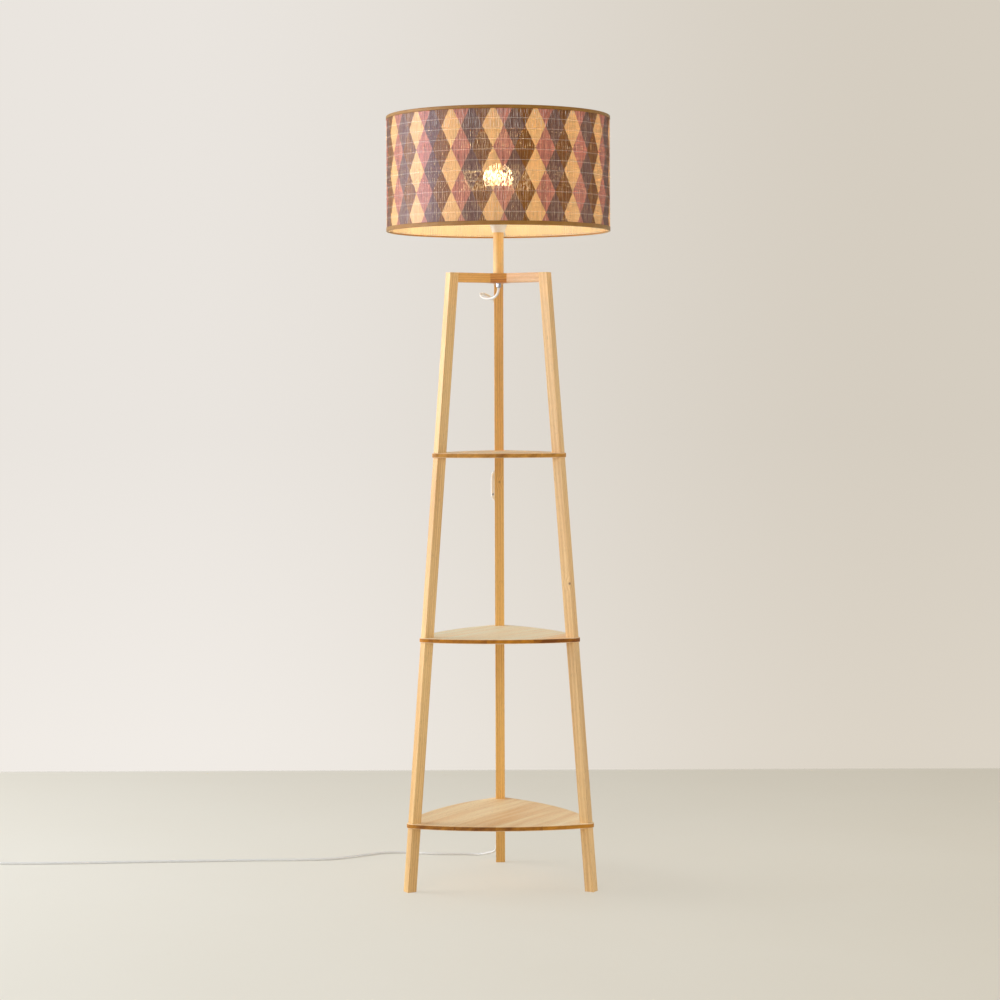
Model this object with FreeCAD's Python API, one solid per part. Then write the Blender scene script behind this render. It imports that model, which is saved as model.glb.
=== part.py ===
import FreeCAD, Part
import math
import os

from FreeCAD import Vector

# Shelf floor lamp: three splayed square legs carry three rounded triangular shelves, and meet
# a hub under a round post with a lampholder and a drum shade of thin upright slats.
# Millimetres, +Z up. The origin is on the floor, on the axis of the post and the shade.
# The rear leg stands at +Y, the other two at the front left and front right.

# ---- driving dimensions: legs and shelves ----
frame_top = 1220.0            # top face of the legs, the arms and the hub
leg_width = 19.0
leg_radius_floor = 206.0      # from the axis to a leg's centre line, at the floor
leg_radius_top = 106.0        # the same at frame_top
leg_edge_round = 0.8
leg_angles = {"rear": 90.0, "left": 210.0, "right": 330.0}
shelf_tops = {"bottom": 134.0, "middle": 497.5, "top": 861.5}
shelf_thickness = 9.0
shelf_lip = 1.6               # how far a shelf's corner stands out past the leg's own corners
shelf_bow_ratio = 0.095       # rise of a shelf's bowed side over the distance between its corners
shelf_edge_round = 0.8

# ---- joints in the legs ----
stud_diameter = 6.0
stud_up = 28.0                # stud above the shelf, fixed in the upper leg piece
stud_down = 20.0              # stud below the shelf, screwed into the insert
insert_diameter = 10.0
insert_length = 15.0
insert_sink = 1.0             # insert below the end face of its leg piece
thread_clearance = 0.05
stud_hole_clearance = 0.3     # round the stud where it passes through a shelf
tip_room = 2.0                # free depth past the end of a stud or dowel

# ---- top frame ----
hub_apothem = 24.0            # from the axis to the face that an arm meets
dowel_diameter = 6.0
dowel_length = 24.0
dowel_spacing = 9.0
glue_clearance = 0.05
post_diameter = 21.0
post_length = 82.5
tube_diameter = 8.0           # hollow threaded tube that clamps hub, post and lampholder
tube_bore = 6.0
tube_into_holder = 9.0
washer_diameter = 18.0
washer_thickness = 1.0
nut_across_flats = 13.0
nut_height = 3.5
recess_depth = 4.8            # of the hub's underside, where the washer and the nut lie
recess_clearance = 0.5
grip_diameter = 10.0
grip_mouth_diameter = 7.2
grip_taper = 2.5              # height of the grip's cone at its mouth
grip_least_wall = 1.0
grip_length = 10.0
grip_on_tube = 4.5
running_gap = 0.1

# ---- lampholder and bulb ----
holder_neck_radius = 12.6
holder_waist_radius = 16.0
holder_waist_height = 12.5
holder_radius = 20.5
holder_shoulder_height = 20.0
holder_base_height = 30.0
holder_wall = 2.0
holder_floor = 11.0
insert_disc_height = 9.0
sleeve_step = 1.1             # from the holder's outside in to the sleeve's outside
sleeve_wall = 3.2
sleeve_height = 28.0
sleeve_bevel = 1.0
flange_overhang = 1.5         # of the sleeve's flange past the holder's outside
flange_thickness = 2.0
ring_nut_wall = 3.4
ring_nut_height = 8.0
shell_thickness = 0.7
shell_height = 25.0
terminal_spacing = 20.0
terminal_diameter = 3.0
terminal_head_diameter = 5.4
terminal_head_height = 1.2
spring_width = 4.0            # sprung strip under the bulb's contact
spring_thickness = 0.5
spring_rise = 0.85
bulb_tip_over_rim = 1.5       # the bulb's lowest point above the lampholder's rim
bulb_length = 108.0
bulb_radius = 30.0
bulb_wall = 1.2
cap_radius = 13.2
cap_thread_depth = 0.8
cap_thread_pitch = 3.6
cap_threads = 4
cap_length = 27.0
cap_foot = 7.5                # from the bulb's lowest point up to the cap's first thread
insulator_step = 1.0          # the insulator's edge in from the cap's wall
housing_flare = 1.6           # hollow of the housing's flared side
bulb_waist = 47.0             # from the globe's top down to where the globe meets its housing
contact_radius = 5.0
contact_height = 1.5
board_thickness = 1.6

# ---- shade ----
shade_diameter = 450.0
shade_height = 231.0
shade_bottom_over_post = 1.5  # the shade's lower rim above the top of the post
skin_thickness = 1.5
tape_thickness = 0.6
tape_width = 8.0
shade_wire = 3.2
spider_wire = 3.0
spider_turn = -3.6            # the spider's first arm, from the rear leg's direction
spider_ring_width = 6.0
spider_ring_thickness = 1.5
fit_gap = 0.05

# ---- in-line switch ----
switch_length = 60.0
switch_width = 22.0
switch_depth = 16.0
switch_wall = 1.6
switch_height = 788.0         # height of its centre over the floor
switch_sideways = -6.0
switch_off_leg = 2.5
switch_nose_width = 13.0
switch_round = 2.0
rocker_length = 18.0
rocker_width = 9.6
rocker_gap = 0.4
rocker_tilt = 9.0             # to either side of level
pin_diameter = 2.0
pin_height = 4.2              # the rocker's pin over the split of the housing
switch_screw_diameter = 2.4
switch_screw_head = 4.6
switch_screw_head_height = 1.6
switch_screw_sink = 0.3       # the screw heads below the base's face
switch_boss = 6.0
switch_ear = 2.0              # thickness of the ears that hold the rocker's pin
rocker_end_rise = 2.2         # the rocker's ends over the cover when it is level
rocker_middle_rise = 1.0
rocker_foot = 2.6             # the rocker's foot below its pin
rocker_edge_round = 0.5
terminal_block = (6.0, 5.0, 6.0)
bridge_width = 4.0
bridge_thickness = 0.6

# ---- cord ----
cord_diameter = 5.0
core_diameter = 1.8
coil_centre = (-1100.0, 222.0)
coil_inner_radius = 22.7
coil_turns = 3.25
coil_pitch = 5.9
coil_layer = 5.6
coil_tail = 40.0
tie_thickness = 0.6
tie_width = 6.0
tie_gap = 0.3
tie_angle = 45.0
straight_at_switch = 14.0     # straight run of the cord at either end of the switch
straight_at_coil = 26.0
inner_cord_end = 2.5          # the cord's end above the floor of the lampholder
plug_width = 35.3
plug_depth = 13.7
plug_length = 36.0
plug_round = 5.0
relief_length = 26.0
relief_overlap = 1.0          # the relief's root inside the plug's body
relief_mouth_diameter = 7.6
relief_root_diameter = 11.0
plug_pin_diameter = 4.0
plug_pin_length = 19.0
plug_pin_spacing = 18.6
plug_pin_embedded = 8.0

# ---- values that follow from these ----
up = Vector(0, 0, 1)
cord_radius = cord_diameter / 2
stud_radius = stud_diameter / 2
half_leg = leg_width / 2
frame_bottom = frame_top - leg_width
shelf_corner_radius = half_leg * math.sqrt(2) + shelf_lip
post_top = frame_top + post_length
washer_bottom = frame_bottom + recess_depth - washer_thickness
nut_bottom = washer_bottom - nut_height
tube_bottom = nut_bottom - grip_on_tube
grip_bottom = nut_bottom - grip_length
holder_rim = post_top + holder_base_height
sleeve_radius = holder_radius - sleeve_step
spider_level = holder_rim + flange_thickness
shade_bottom = post_top + shade_bottom_over_post
shade_top = shade_bottom + shade_height
skin_outer = shade_diameter / 2 - tape_thickness
skin_inner = skin_outer - skin_thickness
wire_radius = shade_wire / 2
wire_centre = skin_inner - fit_gap - wire_radius
lower_wire_level = shade_bottom + tape_thickness + fit_gap + wire_radius
upper_wire_level = shade_top - tape_thickness - fit_gap - wire_radius
bulb_tip = holder_rim + bulb_tip_over_rim
globe_centre = bulb_tip + bulb_length - bulb_radius
globe_foot = bulb_tip + bulb_length - bulb_waist
coil_low = tie_thickness + tie_gap + cord_radius
coil_high = coil_low + coil_layer
coil_swing = 2 * math.pi * coil_turns
coil_outer_radius = coil_inner_radius + coil_pitch * coil_turns / 2


def save(name, shape):
    """Write one node."""
    shape.exportStep("parts/" + name + ".step")


def along(angle, distance, height=0.0):
    """A point at a distance from the axis in the direction of an angle in degrees."""
    turn = math.radians(angle)
    return Vector(distance * math.cos(turn), distance * math.sin(turn), height)


def leg_radius(height):
    """From the axis to a leg's centre line, at a height."""
    return leg_radius_floor + (leg_radius_top - leg_radius_floor) * height / frame_top


def leg_point(angle, height):
    return along(angle, leg_radius(height), height)


def leg_direction(angle):
    return (leg_point(angle, frame_top) - leg_point(angle, 0.0)).normalize()


def turned(profile):
    """Turn a closed outline of (radius, height) points about the lamp's axis."""
    points = [Vector(radius, 0, height) for radius, height in profile]
    return Part.Face(Part.makePolygon(points + points[:1])).revolve(Vector(), up, 360)


def turned_edges(edges):
    return Part.Face(Part.Wire(edges)).revolve(Vector(), up, 360)


def line(start, end):
    return Part.LineSegment(start, end).toShape()


def arc(start, middle, end):
    return Part.Arc(start, middle, end).toShape()


def rounded_rectangle(width, depth, radius):
    """A face centred on the origin, with round corners."""
    box = Part.makeBox(width, depth, 1.0, Vector(-width / 2, -depth / 2, 0))
    upright = [edge for edge in box.Edges if edge.BoundBox.ZLength > 0.5]
    rounded = box.makeFillet(radius, upright)
    return [face for face in rounded.Faces if face.BoundBox.ZMax < 0.001][0]


# ---- legs ----

def leg_section(angle, height):
    """A leg's square section with slightly round corners, level, at a height."""
    section = rounded_rectangle(leg_width, leg_width, leg_edge_round)
    section.rotate(Vector(), up, angle)
    section.translate(leg_point(angle, height))
    return section


def leg_piece(angle, low, high, stud_below, insert_above):
    """A leg between two levels, drilled for the stud at its foot and the insert in its top."""
    axis = leg_direction(angle)
    piece = leg_section(angle, low).extrude(leg_point(angle, high) - leg_point(angle, low))
    if stud_below:
        start = leg_point(angle, low) - axis * tip_room
        depth = tip_room + stud_up + tip_room
        piece = piece.cut(Part.makeCylinder(stud_radius + thread_clearance, depth, start, axis))
    if insert_above:
        start = leg_point(angle, high) + axis * tip_room
        radius = insert_diameter / 2 + thread_clearance
        depth = tip_room + insert_sink + insert_length
        piece = piece.cut(Part.makeCylinder(radius, depth, start, -axis))
        tip = tip_room + stud_down + tip_room
        tip_hole = stud_radius + stud_hole_clearance
        piece = piece.cut(Part.makeCylinder(tip_hole, tip, start, -axis))
    return piece


def make_legs():
    levels = list(shelf_tops.values())
    lows = [0.0] + levels
    highs = [level - shelf_thickness for level in levels] + [frame_top]
    for side, angle in leg_angles.items():
        for place, low, high in zip(("foot", "lower", "middle", "upper"), lows, highs):
            piece = leg_piece(angle, low, high, low > 0.0, high < frame_top)
            if high == frame_top:
                holes = dowels(angle, leg_inner_face(), glue_clearance)
                piece = piece.cut(Part.makeCompound(holes))
            save("leg_" + side + "_" + place, piece)


def make_leg_studs():
    """Studs that pass through the shelves, and the inserts that they screw into."""
    studs = []
    inserts = []
    for level in shelf_tops.values():
        for angle in leg_angles.values():
            axis = leg_direction(angle)
            lower_end = leg_point(angle, level - shelf_thickness)
            start = lower_end - axis * stud_down
            length = (leg_point(angle, level) - start).Length + stud_up
            studs.append(Part.makeCylinder(stud_radius, length, start, axis))
            foot = lower_end - axis * (insert_sink + insert_length)
            sleeve = Part.makeCylinder(insert_diameter / 2, insert_length, foot, axis)
            bore = Part.makeCylinder(stud_radius + thread_clearance, insert_length, foot, axis)
            inserts.append(sleeve.cut(bore))
    save("leg_studs", Part.makeCompound(studs))
    save("leg_inserts", Part.makeCompound(inserts))


# ---- shelves ----

def shelf_outline(level):
    """Three round corners about the legs, joined by three bowed sides that run into them."""
    middle = level - shelf_thickness / 2
    angles = sorted(leg_angles.values())
    corners = [along(angle, leg_radius(middle), level - shelf_thickness) for angle in angles]
    span = (corners[1] - corners[0]).Length
    rise = span * shelf_bow_ratio
    swing = (span * span / 4 + rise * rise) / (2 * rise)
    edges = []
    for k, angle in enumerate(angles):
        here = corners[k]
        there = corners[(k + 1) % 3]
        outward = along(angle + 60.0, 1.0)
        centre = (here + there) * 0.5 - outward * (swing - rise)
        first = here + (here - centre).normalize() * shelf_corner_radius
        last = there + (there - centre).normalize() * shelf_corner_radius
        crown = centre + outward * (swing + shelf_corner_radius)
        edges.append(arc(first, crown, last))
        after = along(angle + 180.0, 1.0)
        next_centre = (there + corners[(k + 2) % 3]) * 0.5 - after * (swing - rise)
        begin = there + (there - next_centre).normalize() * shelf_corner_radius
        tip = there + along(angle + 120.0, shelf_corner_radius)
        edges.append(arc(last, tip, begin))
    return Part.Face(Part.Wire(edges))


def make_shelves():
    for name, level in shelf_tops.items():
        shelf = shelf_outline(level).extrude(up * shelf_thickness)
        rims = [edge for edge in shelf.Edges if edge.BoundBox.ZLength < 0.001]
        shelf = shelf.makeFillet(shelf_edge_round, rims)
        for angle in leg_angles.values():
            axis = leg_direction(angle)
            start = leg_point(angle, level) + axis * tip_room
            radius = stud_radius + stud_hole_clearance
            depth = shelf_thickness + 3 * tip_room
            shelf = shelf.cut(Part.makeCylinder(radius, depth, start, -axis))
        save("shelf_" + name, shelf)


# ---- top frame ----

def leg_inner_face():
    """From the axis to the inner face of a leg, half way up the arms."""
    return leg_radius((frame_top + frame_bottom) / 2) - half_leg


def dowels(angle, joint, clearance=0.0):
    """Two dowels one above the other across a joint between an arm and its neighbour."""
    radius = dowel_diameter / 2 + clearance
    length = dowel_length + (tip_room if clearance else 0.0)
    level = (frame_top + frame_bottom) / 2
    found = []
    for side in (-1, 1):
        start = along(angle, joint - length / 2, level + side * dowel_spacing / 2)
        found.append(Part.makeCylinder(radius, length, start, along(angle, 1.0)))
    return found


def make_arms():
    all_dowels = []
    for side, angle in leg_angles.items():
        profile = [
            (hub_apothem, frame_bottom),
            (leg_radius(frame_bottom) - half_leg, frame_bottom),
            (leg_radius(frame_top) - half_leg, frame_top),
            (hub_apothem, frame_top),
        ]
        points = [Vector(distance, -half_leg, height) for distance, height in profile]
        arm = Part.Face(Part.makePolygon(points + points[:1])).extrude(Vector(0, leg_width, 0))
        reach = (leg_radius(frame_top) - half_leg - hub_apothem) * 0.9
        long_edges = [edge for edge in arm.Edges if edge.BoundBox.XLength > reach]
        arm = arm.makeFillet(leg_edge_round, long_edges)
        arm.rotate(Vector(), up, angle)
        for joint in (hub_apothem, leg_inner_face()):
            arm = arm.cut(Part.makeCompound(dowels(angle, joint, glue_clearance)))
            all_dowels += dowels(angle, joint)
        save("arm_" + side, arm)
    save("frame_dowels", Part.makeCompound(all_dowels))


def make_hub():
    """Six-sided block: three faces as wide as an arm, and three free faces between them."""
    free_apothem = hub_apothem * math.cos(math.pi / 3) + half_leg * math.sin(math.pi / 3)
    half_free = (hub_apothem - free_apothem * math.cos(math.pi / 3)) / math.sin(math.pi / 3)
    points = []
    for angle in leg_angles.values():
        middle = along(angle + 60.0, free_apothem, frame_bottom)
        sideways = along(angle + 150.0, half_free)
        points += [middle - sideways, middle + sideways]
    hub = Part.Face(Part.makePolygon(points + points[:1])).extrude(up * leg_width)
    upright = [edge for edge in hub.Edges if edge.BoundBox.ZLength > leg_width / 2]
    hub = hub.makeFillet(leg_edge_round / 2, upright)
    bore_radius = tube_diameter / 2 + running_gap
    hub = hub.cut(Part.makeCylinder(bore_radius, leg_width, Vector(0, 0, frame_bottom)))
    recess_radius = washer_diameter / 2 + recess_clearance
    hub = hub.cut(Part.makeCylinder(recess_radius, recess_depth, Vector(0, 0, frame_bottom)))
    for angle in leg_angles.values():
        hub = hub.cut(Part.makeCompound(dowels(angle, hub_apothem, glue_clearance)))
    save("hub", hub)


def ring(outer, inner, low, height):
    """A plain round ring about the lamp's axis."""
    body = Part.makeCylinder(outer, height, Vector(0, 0, low))
    return body.cut(Part.makeCylinder(inner, height, Vector(0, 0, low)))


def make_post():
    save("post", ring(post_diameter / 2, tube_diameter / 2 + running_gap, frame_top, post_length))
    length = post_top + tube_into_holder - tube_bottom
    save("stem_tube", ring(tube_diameter / 2, tube_bore / 2, tube_bottom, length))
    bore_radius = tube_diameter / 2 + thread_clearance
    save("stem_washer", ring(washer_diameter / 2, bore_radius, washer_bottom, washer_thickness))
    corner = nut_across_flats / math.sqrt(3)
    points = [along(60.0 * k, corner, nut_bottom) for k in range(6)]
    nut = Part.Face(Part.makePolygon(points + points[:1])).extrude(up * nut_height)
    save("stem_nut", nut.cut(Part.makeCylinder(bore_radius, nut_height, Vector(0, 0, nut_bottom))))


def make_cord_grip():
    """Bright nipple screwed on the tube's lower end, where the cord comes out."""
    bore = cord_radius + running_gap
    thread = tube_diameter / 2 + thread_clearance
    outer = max(grip_diameter / 2, thread + grip_least_wall)
    shoulder = tube_bottom - running_gap
    profile = [
        (bore, grip_bottom),
        (grip_mouth_diameter / 2, grip_bottom),
        (outer, grip_bottom + grip_taper),
        (outer, nut_bottom),
        (thread, nut_bottom),
        (thread, shoulder),
        (bore, shoulder),
    ]
    save("cord_grip", turned(profile))


# ---- lampholder ----

def make_holder():
    thread = tube_diameter / 2 + thread_clearance
    profile = [
        (thread, post_top),
        (holder_neck_radius, post_top),
        (holder_waist_radius, post_top + holder_waist_height),
        (holder_radius, post_top + holder_shoulder_height),
        (holder_radius, holder_rim),
        (holder_radius - holder_wall, holder_rim),
        (holder_radius - holder_wall, holder_rim - insert_disc_height),
        (holder_waist_radius - holder_wall, post_top + holder_waist_height + holder_wall),
        (holder_waist_radius - holder_wall, post_top + holder_floor),
        (thread, post_top + holder_floor),
    ]
    save("holder_base", turned(profile))

    disc_radius = holder_radius - holder_wall - fit_gap
    disc_low = holder_rim - insert_disc_height
    disc = Part.makeCylinder(disc_radius, insert_disc_height, Vector(0, 0, disc_low))
    screws = []
    for side in (-1, 1):
        foot = Vector(side * terminal_spacing / 2, 0, disc_low)
        hole = Part.makeCylinder(terminal_diameter / 2 + fit_gap, insert_disc_height, foot)
        disc = disc.cut(hole)
        shank = Part.makeCylinder(terminal_diameter / 2, insert_disc_height + fit_gap, foot)
        head_foot = foot + up * (insert_disc_height + fit_gap)
        head = Part.makeCylinder(terminal_head_diameter / 2, terminal_head_height, head_foot)
        screws.append(shank.fuse(head))
    save("holder_insert", disc)
    save("terminal_screws", Part.makeCompound(screws))

    sleeve_top = spider_level + sleeve_height
    sleeve_bore = sleeve_radius - sleeve_wall
    flange_radius = holder_radius + flange_overhang
    profile = [
        (sleeve_bore, holder_rim),
        (flange_radius, holder_rim),
        (flange_radius, spider_level),
        (sleeve_radius, spider_level),
        (sleeve_radius, sleeve_top - sleeve_bevel),
        (sleeve_radius - sleeve_bevel, sleeve_top),
        (sleeve_bore, sleeve_top),
    ]
    save("holder_sleeve", turned(profile))
    nut_low = spider_level + spider_ring_thickness + fit_gap
    nut_inner = sleeve_radius + fit_gap
    save("shade_ring_nut", ring(nut_inner + ring_nut_wall, nut_inner, nut_low, ring_nut_height))
    shell_inner = cap_radius + running_gap
    shell_low = holder_rim + fit_gap
    shell = ring(shell_inner + shell_thickness, shell_inner, shell_low, shell_height)
    save("holder_shell_contact", shell)
    root = -cap_radius / 2
    bend = -contact_radius * 0.8
    tip = contact_radius * 0.6
    leaf = [
        (root, 0.0),
        (bend, 0.0),
        (tip, spring_rise),
        (tip, spring_rise + spring_thickness),
        (bend, spring_thickness),
        (root, spring_thickness),
    ]
    points = [Vector(x, -spring_width / 2, holder_rim + fit_gap + z) for x, z in leaf]
    strip = Part.Face(Part.makePolygon(points + points[:1])).extrude(Vector(0, spring_width, 0))
    save("holder_centre_contact", strip)


# ---- bulb ----

def globe_point(radius, height):
    """A point on a sphere about the globe's centre, at a height."""
    offset = height - globe_centre
    return Vector(math.sqrt(radius * radius - offset * offset), 0, height)


def make_bulb():
    cap_low = bulb_tip + contact_height
    cap_high = bulb_tip + cap_length
    thread_low = bulb_tip + cap_foot
    root = cap_radius - cap_thread_depth
    contact = Part.makeCylinder(contact_radius, contact_height, Vector(0, 0, bulb_tip))
    save("bulb_contact", contact)
    wide = root - insulator_step
    cone = [(0, cap_low), (contact_radius, cap_low), (wide, thread_low), (0, thread_low)]
    save("bulb_insulator", turned(cone))
    edges = [line(Vector(0, 0, thread_low), Vector(root, 0, thread_low))]
    for k in range(cap_threads):
        low = thread_low + k * cap_thread_pitch
        edges.append(arc(
            Vector(root, 0, low),
            Vector(cap_radius, 0, low + cap_thread_pitch / 2),
            Vector(root, 0, low + cap_thread_pitch),
        ))
    high = thread_low + cap_threads * cap_thread_pitch
    edges.append(line(Vector(root, 0, high), Vector(root, 0, cap_high)))
    edges.append(line(Vector(root, 0, cap_high), Vector(0, 0, cap_high)))
    edges.append(line(Vector(0, 0, cap_high), Vector(0, 0, thread_low)))
    save("bulb_cap", turned_edges(edges))

    mouth = globe_point(bulb_radius, globe_foot)
    inner_mouth = Vector(mouth.x - bulb_wall, 0, globe_foot)
    foot = Vector(cap_radius, 0, cap_high)
    inner_foot = Vector(cap_radius - bulb_wall, 0, cap_high + bulb_wall)
    bulge = (foot + mouth) * 0.5 - Vector(housing_flare, 0, 0)
    inner_bulge = bulge - Vector(bulb_wall, 0, 0)
    housing = [
        line(Vector(0, 0, cap_high), foot),
        arc(foot, bulge, mouth),
        line(mouth, inner_mouth),
        arc(inner_mouth, inner_bulge, inner_foot),
        line(inner_foot, Vector(0, 0, inner_foot.z)),
        line(Vector(0, 0, inner_foot.z), Vector(0, 0, cap_high)),
    ]
    save("bulb_housing", turned_edges(housing))
    board_radius = inner_mouth.x - board_thickness
    board_level = Vector(0, 0, globe_foot - board_thickness)
    save("bulb_board", Part.makeCylinder(board_radius, board_thickness, board_level))

    top = Vector(0, 0, globe_centre + bulb_radius)
    inner_radius = bulb_radius - bulb_wall
    inner_top = top - up * bulb_wall
    inner_edge = globe_point(inner_radius, globe_foot)
    diffuser = [
        arc(mouth, Vector(bulb_radius, 0, globe_centre), top),
        line(top, inner_top),
        arc(inner_top, Vector(inner_radius, 0, globe_centre), inner_edge),
        line(inner_edge, mouth),
    ]
    save("bulb_globe", turned_edges(diffuser))


# ---- shade ----

def make_shade():
    skin_low = shade_bottom + tape_thickness
    skin_high = shade_top - tape_thickness
    save("shade_skin", ring(skin_outer, skin_inner, skin_low, skin_high - skin_low))
    save("shade_wire_bottom", Part.makeTorus(wire_centre, wire_radius, up * lower_wire_level))
    save("shade_wire_top", Part.makeTorus(wire_centre, wire_radius, up * upper_wire_level))

    tapes = []
    for rim, inward, fold in ((shade_bottom, 1, wire_radius), (shade_top, -1, tape_width)):
        outer = shade_diameter / 2
        inner = wire_centre - wire_radius - fit_gap - tape_thickness
        edge = rim + inward * tape_thickness
        profile = [
            (inner, rim),
            (outer, rim),
            (outer, rim + inward * tape_width),
            (skin_outer, rim + inward * tape_width),
            (skin_outer, edge),
            (inner + tape_thickness, edge),
            (inner + tape_thickness, edge + inward * fold),
            (inner, edge + inward * fold),
        ]
        tapes.append(turned(profile))
    save("shade_tapes", Part.makeCompound(tapes))

    washer_inner = sleeve_radius + fit_gap
    washer_outer = washer_inner + spider_ring_width
    spider = ring(washer_outer, washer_inner, spider_level, spider_ring_thickness)
    arm_start = washer_outer - spider_wire / 2
    arm_end = wire_centre
    arm_high = spider_level + spider_ring_thickness / 2
    arm_low = lower_wire_level + wire_radius + fit_gap + spider_wire / 2
    for angle in leg_angles.values():
        start = along(angle + spider_turn, arm_start, arm_high)
        reach = along(angle + spider_turn, arm_end, arm_low) - start
        spider = spider.fuse(Part.makeCylinder(spider_wire / 2, reach.Length, start, reach))
    save("shade_spider", spider)


# ---- cord ----

def route_edges(points):
    """Straight runs joined by tangent arcs, each as large as its two runs allow."""
    edges = []
    radii = []
    last = points[0]
    for before, here, after in zip(points, points[1:], points[2:]):
        back = before - here
        ahead = after - here
        shorter = min(back.Length, ahead.Length)
        back.normalize()
        ahead.normalize()
        half_turn = (math.pi - back.getAngle(ahead)) / 2
        reach = 0.45 * shorter
        radius = reach / math.tan(half_turn)
        inward = (back + ahead).normalize()
        middle = here + inward * (radius / math.cos(half_turn) - radius)
        start = here + back * reach
        end = here + ahead * reach
        edges.append(line(last, start))
        edges.append(arc(start, middle, end))
        radii.append(radius)
        last = end
    edges.append(line(last, points[-1]))
    return edges, radii


def swept(edges, start, direction):
    """A round tube of the cord's diameter along joined edges."""
    circle = Part.Circle(start, direction, cord_radius).toShape()
    return Part.Wire(edges).makePipeShell([Part.Wire([circle])], True, False)


def cord_tube(name, points):
    edges, radii = route_edges(points)
    tube = swept(edges, points[0], points[1] - points[0])
    length = sum(edge.Length for edge in edges)
    section = math.pi * cord_radius ** 2
    print(name, "length", round(length, 1), "volume ratio", round(tube.Volume / (section * length), 4))
    print(name, "radii", [round(radius, 1) for radius in radii])
    save(name, tube)
    return length


def biarc(start, start_way, end, end_way):
    """Two arcs, or lines where straight, that leave and arrive along given directions."""
    span = end - start
    ways = start_way + end_way
    straightness = 2 * (1 - start_way.dot(end_way))
    across = span.dot(ways)
    if straightness < 1e-9:
        reach = span.dot(span) / (4 * span.dot(end_way))
    else:
        root = math.sqrt(across * across + straightness * span.dot(span))
        reach = (root - across) / straightness
    joint = (start + end + (start_way - end_way) * reach) * 0.5
    return [tangent_arc(start, start_way, joint), tangent_arc(end, -end_way, joint)]


def tangent_arc(start, way, end):
    """An arc from a point along a direction to another point."""
    chord = end - start
    half_turn = way.getAngle(chord)
    side = (chord - way * chord.dot(way)).normalize()
    crown = (way * math.cos(half_turn / 2) + side * math.sin(half_turn / 2))
    half_chord = chord.Length / 2
    return arc(start, start + crown * (half_chord / math.cos(half_turn / 2)), end)


def coil_point(swing):
    """A point of the coil after an angle: in on the lower layer, up, and out on the upper one."""
    past_middle = swing - coil_swing / 2
    radius = coil_inner_radius + coil_pitch * abs(past_middle) / (2 * math.pi)
    climb = min(max(past_middle / math.pi + 0.5, 0.0), 1.0)
    height = coil_low + coil_layer * climb * climb * (3 - 2 * climb)
    turn = -math.pi / 2 - swing
    x = coil_centre[0] + radius * math.cos(turn)
    y = coil_centre[1] + radius * math.sin(turn)
    return Vector(x, y, height)


def coil_way(swing):
    """The coil's direction there."""
    step = 0.001
    return (coil_point(swing + step) - coil_point(swing - step)).normalize()


def coil_edges():
    """The lead-in, the turns, the tail that comes down to the plug, and its straight end."""
    quarters = round(coil_turns * 4)
    swings = [coil_swing * k / quarters for k in range(quarters + 1)]
    points = [coil_point(swing) for swing in swings]
    ways = [coil_way(swing) for swing in swings]
    ways[0] = Vector(-1, 0, 0)
    ways[-1] = Vector(0, 1, 0)
    edges = [line(points[0] - ways[0] * cord_diameter, points[0])]
    for k in range(quarters):
        edges += biarc(points[k], ways[k], points[k + 1], ways[k + 1])
    tail_end = Vector(points[-1].x, points[-1].y + coil_tail, plug_depth / 2)
    edges += biarc(points[-1], ways[-1], tail_end, ways[-1])
    edges.append(line(tail_end, tail_end + ways[-1] * cord_diameter))
    return edges


def coil_self_gap():
    """Least distance between turns, less the cord's diameter, on points a few degrees apart."""
    count = round(coil_turns * 72)
    points = [coil_point(coil_swing * k / count) for k in range(count + 1)]
    least = 1e9
    for i, point in enumerate(points):
        for other in points[i + 36:]:
            least = min(least, (point - other).Length)
    return least - cord_diameter


def make_coil():
    edges = coil_edges()
    start = coil_start()
    coil = swept(edges, start, Vector(-1, 0, 0))
    length = sum(edge.Length for edge in edges)
    print("cord_coil length", round(length, 1), "least gap to itself", round(coil_self_gap(), 2))
    section = math.pi * cord_radius ** 2
    print("cord_coil volume ratio", round(coil.Volume / (section * length), 4))
    save("cord_coil", coil)

    # The tie is a flat loop round the bundle of turns.
    inner = coil_inner_radius - cord_radius - tie_gap - tie_thickness
    outer = coil_inner_radius + coil_pitch + cord_radius + tie_gap + tie_thickness
    height = coil_high + cord_radius + tie_gap + tie_thickness
    corner = cord_radius
    loop = Part.makeBox(outer - inner, tie_width, height, Vector(inner, -tie_width / 2, 0))
    loop = loop.makeFillet(corner, [e for e in loop.Edges if e.BoundBox.YLength > tie_width * 0.9])
    hole = Part.makeBox(
        outer - inner - 2 * tie_thickness,
        tie_width,
        height - 2 * tie_thickness,
        Vector(inner + tie_thickness, -tie_width / 2, tie_thickness),
    )
    inner_corner = corner - tie_thickness
    hole = hole.makeFillet(
        inner_corner, [e for e in hole.Edges if e.BoundBox.YLength > tie_width * 0.9])
    tie = loop.cut(hole)
    tie.rotate(Vector(), up, tie_angle)
    tie.translate(Vector(coil_centre[0], coil_centre[1], 0))
    save("coil_tie", tie)
    return length


def coil_start():
    """The end of the coil's lead-in, where the loose cord meets it."""
    return coil_point(0.0) + Vector(cord_diameter, 0, 0)


def plug_mouth():
    """Where the coil's tail meets the plug's strain relief."""
    last = coil_point(coil_swing)
    return Vector(last.x, last.y + coil_tail + cord_diameter, plug_depth / 2)


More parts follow.
